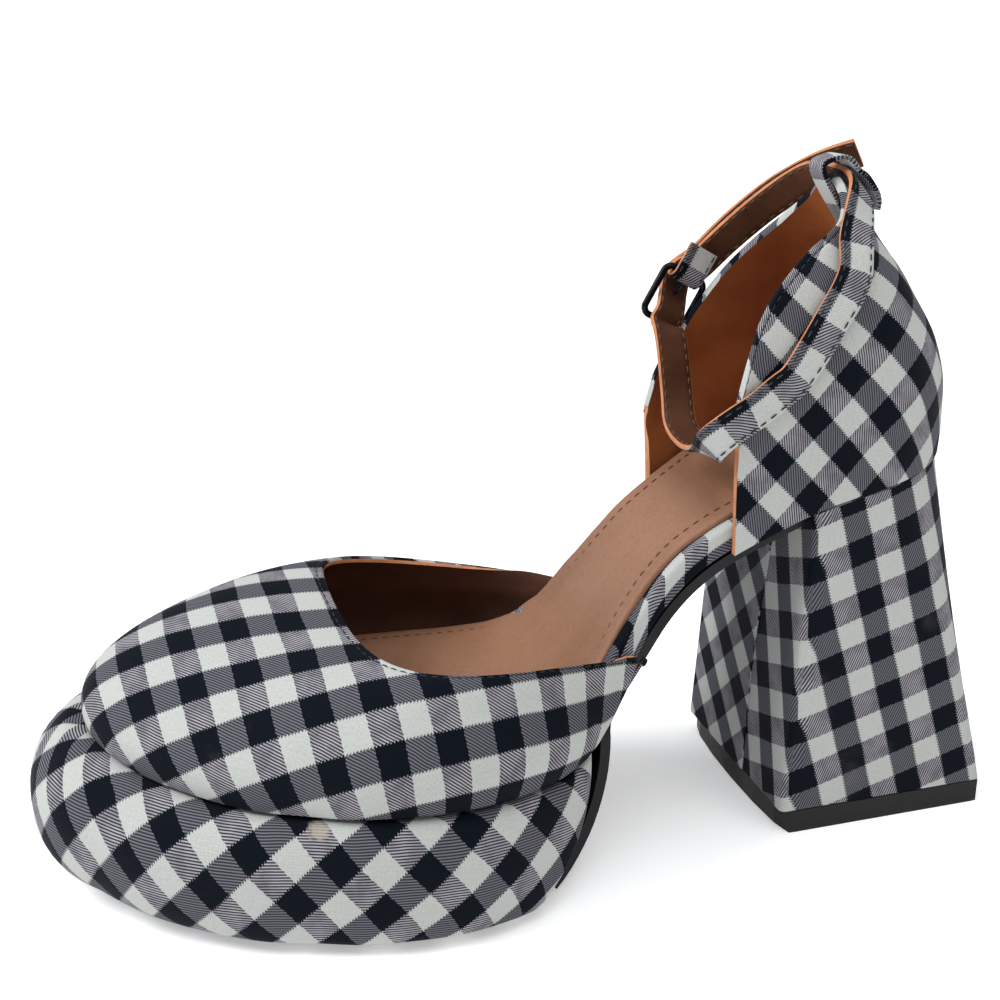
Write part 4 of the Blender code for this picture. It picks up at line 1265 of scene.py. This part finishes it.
class SHOE_OT_sock(bpy.types.Operator):
    """Leather sock on the insole board, stitched round its edge"""

    bl_idname = "shoe.sock"
    bl_label = "Sock lining"

    def execute(self, context):
        sizes = settings().sizes

        def lower(x):
            return bed_top(x) + CLEAR / 2

        def upper(x):
            return bed_top(x) + CLEAR + SOCK_THICK * upright_stretch(x)

        edge = bed_edge(BOARD_INSET + SOCK_INSET, lower, upper)
        skin = plate(150, edge, SOCK_RINGS, upper, lower, BOARD_CUT, sizes.check, 0, 12)
        place_piece(skin.build("sock_leather_piece", ["sock_leather"]), "sock_lining")
        inset = BOARD_INSET + SOCK_INSET + sizes.sock_stitch
        stitched = bed_edge(inset, lower, upper)
        shares = np.linspace(0, 1, 401)
        left = [stitched(share, 1, 1.0) for share in shares]
        right = [stitched(share, -1, 1.0) for share in shares[-2::-1]]
        line = np.array(left + right)
        up = np.array([unit(np.array([-bed_slope(x), 0.0, 1.0])) for x in line[:, 0]])
        stitches = stitch_line(line, up, sizes.stitch, sizes.stitch_gap, sizes.thread / 2)
        join_stitches("sock_stitches", [stitches], "tan_thread")
        return {"FINISHED"}


class SHOE_OT_platform(bpy.types.Operator):
    """Platform covered in bias-cut gingham"""

    bl_idname = "shoe.platform"
    bl_label = "Platform"

    def execute(self, context):
        def top(x):
            return feather_height(x) - CLEAR

        def bottom(x):
            return underside(x) + CLEAR

        check = settings().sizes.check
        skin = plate(150, platform_point, PLATFORM_RINGS, top, bottom, PLATFORM_CUT, check, 0)
        place_piece(skin.build("platform_cover", ["gingham_platform"]), "platform")
        return {"FINISHED"}


HEEL_BEND = 0.0016           # radius of the heel's front corners
HEEL_CROWDING = 1.25         # how much the points of its side crowd towards the back
BREAST_FACES = 8             # faces from a front corner to the middle of the breast


def heel_front(level):
    return HEEL_BASE_FRONT + (HEEL_TOP_FRONT - HEEL_BASE_FRONT) * level


def heel_height(x, level):
    low = LIFT_THICK + CLEAR
    return low + (heel_cover_top(x) - low) * level


def heel_ring(level, round_steps=34, corner_steps=5):
    """Outline of the heel at a level, from the middle of the breast round the back and to it again."""
    ease = level ** HEEL_FLARE_POWER
    back = HEEL_BASE_BACK + (BED_BACK - HEEL_BASE_BACK) * ease
    front = heel_front(level)
    corner = HEEL_CORNER + (SEAT_ROUND * BED_LENGTH - HEEL_CORNER) * ease
    turn_start = front - HEEL_BEND

    def half(x):
        top = half_width(x) - HEEL_SIDE_INSET
        wide = HEEL_BASE_WIDTH / 2 + (top - HEEL_BASE_WIDTH / 2) * ease
        return wide * round_end(x - back, corner, 2.0)

    sides = {}
    for side in (1, -1):
        plan = []
        for i in range(round_steps + 1):
            reach = (1 - math.cos(math.pi / 2 * i / round_steps)) ** HEEL_CROWDING
            x = back + (turn_start - back) * reach
            plan.append((x, side * half(x)))
        reach = half(turn_start)
        for i in range(1, corner_steps + 1):
            turn = math.pi / 2 * i / corner_steps
            y = reach - HEEL_BEND * (1 - math.cos(turn))
            plan.append((turn_start + HEEL_BEND * math.sin(turn), side * y))
        for i in range(1, BREAST_FACES + 1):
            plan.append((front, side * (reach - HEEL_BEND) * (1 - i / BREAST_FACES)))
        sides[side] = [(x, y + centre_line(x) * ease, heel_height(x, level)) for x, y in plan]
    return sides[1][::-1] + sides[-1][1:]


class SHOE_OT_heel(bpy.types.Operator):
    """Heel block wrapped in gingham, with a bias-cut panel on its breast"""

    bl_idname = "shoe.heel"
    bl_label = "Heel block"

    def execute(self, context):
        check = settings().sizes.check
        levels = np.linspace(0, 1, 15)
        grid = np.array([heel_ring(level) for level in levels])
        coarse = grid[::2, ::2]
        run = np.cumsum(np.linalg.norm(np.diff(coarse, axis=1, prepend=coarse[:, :1]), axis=2), axis=1)
        run -= run[:, coarse.shape[1] // 2][:, None]
        start = np.stack([run, -coarse[..., 2]], -1)
        cloth = panel_cut(coarse, start, (1, 1), HEEL_CUT, check)
        skin = Skin()
        skin.patch(grid, cloth, 0)
        half = grid.shape[1] // 2
        for row in (grid[0], grid[-1]):
            sheet = np.array([row[:half + 1], row[::-1][:half + 1]])
            skin.patch(sheet, sheet[..., :2] / check, 0)
        place_piece(skin.build("heel_cover", ["gingham"]), "heel_block")
        place_piece(breast_panel(check), None)
        return {"FINISHED"}


BREAST_SEAM = (
    # level, y
    (0.00, 0.0070),
    (0.40, 0.0062),
    (0.80, 0.0090),
    (0.94, 0.0096),
    (1.00, 0.0080),
)


PANEL_LIFT = 0.0004          # breast panel's face above the heel's
PANEL_ROOT = 0.0002          # breast panel's back below the heel's face
PANEL_INSET = 0.0006         # heel's far front corner to the panel's edge


def breast_panel(check):
    """Panel on the heel's breast, from its far corner to the seam beside the near flap."""
    outer, inner = [], []
    for level in np.linspace(0, 1, 21):
        front = heel_front(level)
        height = heel_height(front, level)
        far = heel_ring(level)[-1 - BREAST_FACES][1] + PANEL_INSET
        ys = np.linspace(far, smooth(BREAST_SEAM, level), 15)
        outer.append([(front + PANEL_LIFT, y, height) for y in ys])
        inner.append([(front - PANEL_ROOT, y, height) for y in ys])
    outer, inner = np.array(outer), np.array(inner)
    cloth = cut(outer[..., [1, 2]] * (1, -1), BREAST_CUT, check)
    skin = Skin()
    skin.patch(outer, cloth, 0)
    skin.patch(inner[::-1], cloth[::-1], 0)
    for a, b, c in ((outer[0], inner[0], cloth[0]), (outer[-1], inner[-1], cloth[-1]),
                    (outer[:, 0], inner[:, 0], cloth[:, 0]), (outer[:, -1], inner[:, -1], cloth[:, -1])):
        skin.patch([a, b], [c, c], 0)
    return skin.build("heel_breast_panel", ["gingham"])


SOLE_INSET = 0.0055          # platform's lower edge to the outsole's edge on the forepart
SEAT_INSET = 0.0012          # back of the bed to the outsole's back end
CLIMB_SHARE = 0.84           # width of the outsole behind the platform, as a share of the platform's
CLIMB_NARROW = 0.001         # how much narrower it is at the top of that climb
CLIMB_TOP = 0.97             # level of the platform where the climb ends
WAIST_STEP = 0.001           # from there to the start of the waist
SOLE_TUCK = (
    # along, distance from the feather line in to the sole's edge
    (0.200, 0.0045),
    (0.230, 0.0028),
    (0.385, 0.0030),
    (0.425, 0.0060),
    (0.460, 0.0060),
)


def sole_rows(floor_steps=60, climb_steps=16, waist_steps=90):
    """Upper face of the outsole, from the toe along the floor, up the platform's back to the seat."""
    toe = x_of(1) + ledge(x_of(1), 0.0) - SOLE_INSET
    rear = platform_rear(0.0) - 2 * CLEAR
    path = []
    for i in range(floor_steps):
        x = eased(toe, rear, i / floor_steps)
        half = half_width(x) + ledge(x, 0.0) - SOLE_INSET
        half *= round_end(toe - x, TOE_ROUND * BED_LENGTH, TOE_POWER)
        corner = round_end(x - rear, REAR_ROUND, REAR_POWER)
        path.append((x, underside(x), half * (1 - (1 - CLIMB_SHARE) * (1 - corner))))
    for i in range(climb_steps):
        level = CLIMB_TOP * i / (climb_steps - 1)
        x = platform_rear(level) - 2 * CLEAR
        low = underside(x) + CLEAR
        z = low + (feather_height(x) - CLEAR - low) * level
        half = (half_width(x) + ledge(x, level)) * CLIMB_SHARE - CLIMB_NARROW * level
        path.append((x, z, half))
    start = path[-1][0] - WAIST_STEP
    back = BED_BACK + SEAT_INSET
    for i in range(waist_steps + 1):
        x = start + (back - start) * (i / waist_steps) ** 0.8
        tuck = smooth(SOLE_TUCK, along_of(x))
        half = (half_width(x) - tuck) * round_end(x - back + 1e-6, SEAT_ROUND * BED_LENGTH, 2.0)
        path.append((x, feather_height(x) - CLEAR, half))
    return path


class SHOE_OT_rubber(bpy.types.Operator):
    """Black rubber: the outsole's sheet and the heel's top lift"""

    bl_idname = "shoe.rubber"
    bl_label = "Outsole and top lift"

    def execute(self, context):
        path = sole_rows()
        places = np.array([(x, z) for x, z, _ in path])
        ahead = unit(np.gradient(places, axis=0))
        under = np.stack([ahead[:, 1], -ahead[:, 0]], 1)
        under *= np.sign(under[:1, 1:]) * -1
        shares = (-1.0, -0.9999, -0.5, 0.0, 0.5, 0.9999, 1.0)
        upper, lower = [], []
        for (x, z, half), (down_x, down_z) in zip(path, under):
            line = [(x, centre_line(x) + half * share, z) for share in shares]
            upper.append(line)
            lower.append(line + np.array((down_x, 0.0, down_z)) * OUTSOLE_THICK)
        upper, lower = np.array(upper), np.array(lower)
        skin = Skin()
        flat = np.zeros((*upper.shape[:2], 2))
        skin.patch(upper, flat, 0)
        skin.patch(lower[::-1], flat, 0)
        for side in (0, -1):
            skin.patch([upper[:, side], lower[:, side]], [flat[:, side]] * 2, 0)
        for end in (0, -1):
            skin.patch([upper[end], lower[end]], [flat[end]] * 2, 0)
        place_piece(skin.build("outsole_sheet", ["black_rubber"]), "outsole")
        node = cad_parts["top_lift"]
        node.data.materials.clear()
        node.data.materials.append(finish_of("black_rubber"))
        return {"FINISHED"}


# Stitching


def resample(points, step):
    """Points at equal steps along a line, with their places on it."""
    run = lengths_along(points)
    marks = np.arange(step / 2, run[-1], step)
    return np.stack([np.interp(marks, run, points[:, k]) for k in range(3)], 1), marks, run


STITCH_RINGS = 5
STITCH_SIDES = 6


def stitch_line(line, up, length, gap, radius):
    """Small rounded stitches along a line, half sunk into the face with the given normals."""
    middles, marks, run = resample(line, length + gap)
    normals = unit(np.stack([np.interp(marks, run, up[:, k]) for k in range(3)], 1))
    ahead = np.stack([np.interp(marks + 1e-4, run, line[:, k]) for k in range(3)], 1)
    behind = np.stack([np.interp(marks - 1e-4, run, line[:, k]) for k in range(3)], 1)
    ahead = unit(ahead - behind)
    aside = unit(np.cross(normals, ahead))
    shape = []
    for k in range(STITCH_RINGS):
        reach = -1 + 2 * k / (STITCH_RINGS - 1)
        swell = max(0.12, 1 - reach ** 4)
        for m in range(STITCH_SIDES):
            turn = 2 * math.pi * m / STITCH_SIDES
            shape.append((reach * length / 2, swell * math.cos(turn) * radius,
                          (swell * math.sin(turn) + (0.35 - 0.7 * reach * reach)) * radius))
    faces = []
    for low in range(0, (STITCH_RINGS - 1) * STITCH_SIDES, STITCH_SIDES):
        high = low + STITCH_SIDES
        for m in range(STITCH_SIDES):
            n = (m + 1) % STITCH_SIDES
            faces.append((low + m, low + n, high + n, high + m))
    faces += [tuple(range(STITCH_SIDES))[::-1], tuple(range(high, high + STITCH_SIDES))]
    verts = [middle + a * s[0] + b * s[1] + n * s[2]
             for middle, a, b, n in zip(middles, ahead, aside, normals) for s in shape]
    return verts, faces, len(middles)


def join_stitches(name, groups, finish):
    """All stitches of some lines as one piece on the shoe."""
    verts, faces = [], []
    for points, shape, count in groups:
        size = len(points) // count
        for k in range(count):
            base = len(verts) + k * size
            faces += [[base + i for i in face] for face in shape]
        verts += [tuple(point) for point in points]
    mesh = bpy.data.meshes.new(name)
    mesh.from_pydata(verts, [], faces)
    mesh.materials.append(finish_of(finish))
    mesh.shade_smooth()
    thing = bpy.data.objects.new(name, mesh)
    bpy.context.scene.collection.objects.link(thing)
    place_piece(thing, None)


def sew_seam(name, seam):
    """Fine dark stitching in the groove under a folded top edge."""
    sizes = settings().sizes
    line, normals = seam
    stitches = stitch_line(line, normals, sizes.stitch, sizes.stitch_gap / 2, sizes.thread * 0.4)
    join_stitches(name, [stitches], "dark_thread")


# Strap, loop and buckle


def band_frames(stations, steps):
    """Middle, half-width direction, face direction and run of a band at fine steps."""
    line = []
    for index in range(len(stations) - 1):
        line += [between(stations, index, k / steps) for k in range(steps)]
    line.append(stations[-1])
    middles = np.array([point for point, _ in line])
    for _ in range(4):
        middles[1:-1] = (middles[:-2] + 2 * middles[1:-1] + middles[2:]) / 4
    leans = np.array([lean for _, lean in line])
    for _ in range(8):
        leans[1:-1] = (leans[:-2] + 2 * leans[1:-1] + leans[2:]) / 4
    ahead = unit(np.gradient(middles, axis=0))
    sides = unit(leans - ahead * np.sum(leans * ahead, 1, keepdims=True))
    return middles, sides, np.cross(ahead, sides), lengths_along(middles)


BAND_SECTION = (
    # across, out, finish of the face that follows: 0 cloth, 1 lining, 2 edge
    (-0.93, -0.94, 0),
    (-0.60, -1.00, 0),
    (0.00, -1.02, 0),
    (0.60, -1.00, 0),
    (0.93, -0.94, 0),
    (0.99, -0.55, 0),
    (1.00, 0.00, 0),
    (0.99, 0.55, 2),
    (0.93, 0.94, 1),
    (0.50, 1.00, 1),
    (0.00, 1.00, 1),
    (-0.50, 1.00, 1),
    (-0.93, 0.94, 2),
    (-0.99, 0.55, 2),
    (-1.00, 0.00, 2),
    (-0.99, -0.55, 0),
    (-0.93, -0.94, 0),
)


SEAM_SHARE = 0.78            # middle of the strap to its stitching, as a share of its half width


def band(name, stations, width, thickness, grain, finishes, steps=10):
    """Cloth and leather band through its stations, with its middle line and directions."""
    middles, sides, faces, run = band_frames(stations, steps)
    check = settings().sizes.check
    skin = Skin()
    lines, marks = [], []
    for across, out, _ in BAND_SECTION:
        lines.append(middles + sides * (across * width / 2) + faces * (out * thickness / 2))
        lengths = np.stack([run, np.full(len(run), across * width / 2)], -1)
        marks.append(cut(lengths, grain, check))
    for k in range(len(BAND_SECTION) - 1):
        skin.patch([lines[k], lines[k + 1]], [marks[k], marks[k + 1]], BAND_SECTION[k][2])
    for end in (0, -1):
        skin.cap([line[end] for line in lines[:-1]], 2)
    return skin.build(name, finishes), (middles, sides, faces)


class SHOE_OT_strap(bpy.types.Operator):
    """Ankle strap: gingham outside, leather inside, edges stitched on both faces"""

    bl_idname = "shoe.strap"
    bl_label = "Ankle strap"

    def execute(self, context):
        sizes = settings().sizes
        finishes = ("gingham", "strap_lining", "raw_edge")
        stations = strap_stations()
        thing, frames = band("strap_band", stations, STRAP_WIDTH, STRAP_THICK, STRAP_CUT, finishes)
        place_piece(thing, "ankle_strap")
        middles, sides, faces = frames
        for out, finish in ((-1, "dark_thread"), (1, "tan_thread")):
            groups = []
            for across in (-SEAM_SHARE, SEAM_SHARE):
                line = middles + sides * (across * STRAP_WIDTH / 2) + faces * (out * STRAP_THICK / 2)
                groups.append(stitch_line(line, faces * out, sizes.stitch, sizes.stitch_gap,
                                          sizes.thread / 2))
            join_stitches("strap_" + finish, groups, finish)
        return {"FINISHED"}


class SHOE_OT_loop(bpy.types.Operator):
    """Cloth loop at the back that carries the strap"""

    bl_idname = "shoe.loop"
    bl_label = "Back loop"

    def execute(self, context):
        finishes = ["gingham"] * 3
        thing, _ = band("back_loop_tab", loop_stations(), TAB_WIDTH, TAB_THICK, LOOP_CUT, finishes, 8)
        place_piece(thing, "back_loop")
        return {"FINISHED"}


def tube(name, points, radius, closed, sides=16):
    """Round wire through a line of points."""
    points = np.array(points)
    count = len(points)
    if closed:
        ahead = unit(np.roll(points, -1, 0) - np.roll(points, 1, 0))
    else:
        ahead = unit(np.gradient(points, axis=0))
    guide = unit(np.cross(ahead[0], ahead[count // 4] if closed else (0.0, 1.0, 0.0)))
    first = unit(np.cross(ahead, guide))
    second = np.cross(ahead, first)
    rows = []
    for k in range(sides + 1):
        turn = 2 * math.pi * k / sides
        rows.append(points + (first * math.cos(turn) + second * math.sin(turn)) * radius)
    rows = np.array(rows)
    if closed:
        rows = np.concatenate([rows, rows[:, :1]], 1)
    skin = Skin()
    skin.patch(rows, np.zeros((*rows.shape[:2], 2)), 0)
    if not closed:
        for end in (0, -1):
            skin.cap(list(rows[:-1, end]), 0)
    return skin.build(name, ["black_lacquer"])


class SHOE_OT_buckle(bpy.types.Operator):
    """Buckle of black wire: a rounded frame and its prong"""

    bl_idname = "shoe.buckle"
    bl_label = "Buckle"

    def execute(self, context):
        middle, along, across, outward = buckle_frame_axes()
        points = []
        half_long = BUCKLE_LONG / 2 - BUCKLE_CORNER
        half_wide = BUCKLE_WIDE / 2 - BUCKLE_CORNER
        steps = 10
        corners = ((1, 1), (-1, 1), (-1, -1), (1, -1))
        for corner, (a, b) in enumerate(corners):
            for k in range(steps + 1):
                turn = math.pi / 2 * (corner + k / steps)
                s = a * half_long + BUCKLE_CORNER * math.cos(turn)
                w = b * half_wide + BUCKLE_CORNER * math.sin(turn)
                points.append(middle + along * s + across * w)
        thing = tube("buckle_wire_frame", points, BUCKLE_WIRE, True)
        place_piece(thing, "buckle_frame")
        root = middle + along * (BUCKLE_LONG / 2 - BUCKLE_WIRE - CLEAR)
        rest = BUCKLE_WIRE + PRONG_WIRE + CLEAR
        tip = middle - along * (BUCKLE_LONG / 2 + PRONG_OVER) + outward * rest
        line = []
        for share in np.linspace(0, 1, 21):
            line.append(root.lerp(tip, share) + outward * (PRONG_BOW * math.sin(math.pi * share)))
        thing = tube("buckle_wire_prong", line, PRONG_WIRE, False)
        place_piece(thing, "buckle_prong")
        return {"FINISHED"}


# Stage

CAMERA_PLACE = (0.1805, 0.3100, 0.2033)
CAMERA_AIM = (-0.253, -0.908, -0.334)
CAMERA_ROLL = -0.6
CAMERA_LENS = 49.9
GLOW_REACH = (0.5, 1.3)      # where the floor's own light begins and stops to rise, from the origin
GLOW_NEAR = 0.33
GLOW_FAR = 0.85
AIR_COLOUR = (0.95, 0.97, 1.0, 1.0)
AIR_STRENGTH = 0.43
LIGHT_AIM = (0.08, 0.0, 0.06)
LIGHTS = (
    # name, place, diameter, watts, colour
    ("window_light", (1.25, -0.15, 1.15), 0.8, 21.0, (0.97, 0.985, 1.0)),
    ("sky_light", (0.1, 0.25, 1.4), 1.2, 10.5, (0.96, 0.98, 1.0)),
    ("warm_light", (-0.5, 0.9, 0.7), 0.7, 1.6, (1.0, 0.95, 0.88)),
)
FLOOR_NEAR = 6.0             # the floor's edge behind the camera
FLOOR_FAR = 30.0             # where it begins to rise, and half its width
FLOOR_RISE = 4.0             # radius and height of that rise


def area_light(name, place, aim, size, power, colour):
    data = bpy.data.lights.new(name, "AREA")
    data.shape = "DISK"
    data.size = size
    data.energy = power
    data.color = colour
    thing = bpy.data.objects.new(name, data)
    thing.location = place
    thing.rotation_euler = (Vector(aim) - Vector(place)).to_track_quat("-Z", "Y").to_euler()
    bpy.context.scene.collection.objects.link(thing)


class SHOE_OT_stage(bpy.types.Operator):
    """Pale floor, soft studio light and the camera"""

    bl_idname = "shoe.stage"
    bl_label = "Stage"

    def execute(self, context):
        scene = context.scene
        profile = [(FLOOR_NEAR, 0.0)]
        for k in range(13):
            turn = math.pi / 2 * k / 12
            far = -FLOOR_FAR - FLOOR_RISE * math.sin(turn)
            profile.append((far, FLOOR_RISE * (1 - math.cos(turn))))
        skin = Skin()
        rows = np.array([[(x, y, z) for y, z in profile] for x in (-FLOOR_FAR, FLOOR_FAR)])
        skin.patch(rows, np.zeros((*rows.shape[:2], 2)), 0)
        pale = settings().colours.floor
        paper = Finish("floor_paper", pale, 0.9)
        speck = paper.noise(paper.position(), 12.0, 3.0)
        tone = paper.blend(speck * 0.2, pale, [c * 0.97 for c in pale])
        x, y, _ = paper.parts(paper.position())
        far = (x.power(2.0) + y.power(2.0)).power(0.5).ramp(*GLOW_REACH)
        glow = paper.blend(far, [GLOW_NEAR] * 3, [GLOW_FAR] * 3)
        paper.finish(base_color=tone, emission_color=glow)
        paper.set(paper.shader.inputs["Emission Strength"], 1.0)
        floor = skin.build("studio_floor", ["floor_paper"])
        world = bpy.data.worlds.new("studio_air")
        world.use_nodes = True
        air = world.node_tree.nodes["Background"].inputs
        air["Color"].default_value = AIR_COLOUR
        air["Strength"].default_value = AIR_STRENGTH
        scene.world = world
        for name, place, size, power, colour in LIGHTS:
            area_light(name, place, LIGHT_AIM, size, power, colour)
        forward = Vector(CAMERA_AIM).normalized()
        right = forward.cross(Vector((0, 0, 1))).normalized()
        up = right.cross(forward)
        roll = math.radians(CAMERA_ROLL)
        turned_right = right * math.cos(roll) + up * math.sin(roll)
        turned_up = up * math.cos(roll) - right * math.sin(roll)
        data = bpy.data.cameras.new("photo_camera")
        data.sensor_width = 36.0
        data.lens = CAMERA_LENS
        data.clip_start = 0.01
        camera = bpy.data.objects.new("photo_camera", data)
        turn = Matrix((turned_right, turned_up, -forward)).transposed().to_4x4()
        camera.matrix_world = Matrix.Translation(CAMERA_PLACE) @ turn
        scene.collection.objects.link(camera)
        scene.camera = camera
        scene.view_settings.view_transform = "Standard"
        return {"FINISHED"}


# Add-on


OPERATORS = (
    SHOE_OT_stage,
    SHOE_OT_rubber,
    SHOE_OT_platform,
    SHOE_OT_board,
    SHOE_OT_sock,
    SHOE_OT_vamp,
    SHOE_OT_counter,
    SHOE_OT_heel,
    SHOE_OT_strap,
    SHOE_OT_loop,
    SHOE_OT_buckle,
)


class SHOE_PT_panel(bpy.types.Panel):
    """Lists the shoe's pieces and settings"""

    bl_idname = "SHOE_PT_panel"
    bl_label = "Platform shoe"
    bl_space_type = "VIEW_3D"
    bl_region_type = "UI"
    bl_category = "Shoe"

    def draw(self, context):
        layout = self.layout
        for operator in OPERATORS:
            layout.operator(operator.bl_idname)
        for group in (settings().sizes, settings().colours):
            for key in group.__annotations__:
                layout.prop(group, key)


CLASSES = (ShoeColours, ShoeSizes, ShoeSettings, *OPERATORS, SHOE_PT_panel)


def register():
    for item in CLASSES:
        bpy.utils.register_class(item)
    bpy.types.Scene.shoe_settings = PointerProperty(type=ShoeSettings)


def unregister():
    del bpy.types.Scene.shoe_settings
    for item in reversed(CLASSES):
        bpy.utils.unregister_class(item)


def main():
    register()
    for operator in OPERATORS:
        group, name = operator.bl_idname.split(".")
        getattr(getattr(bpy.ops, group), name)()


if __name__ == "__main__":
    main()
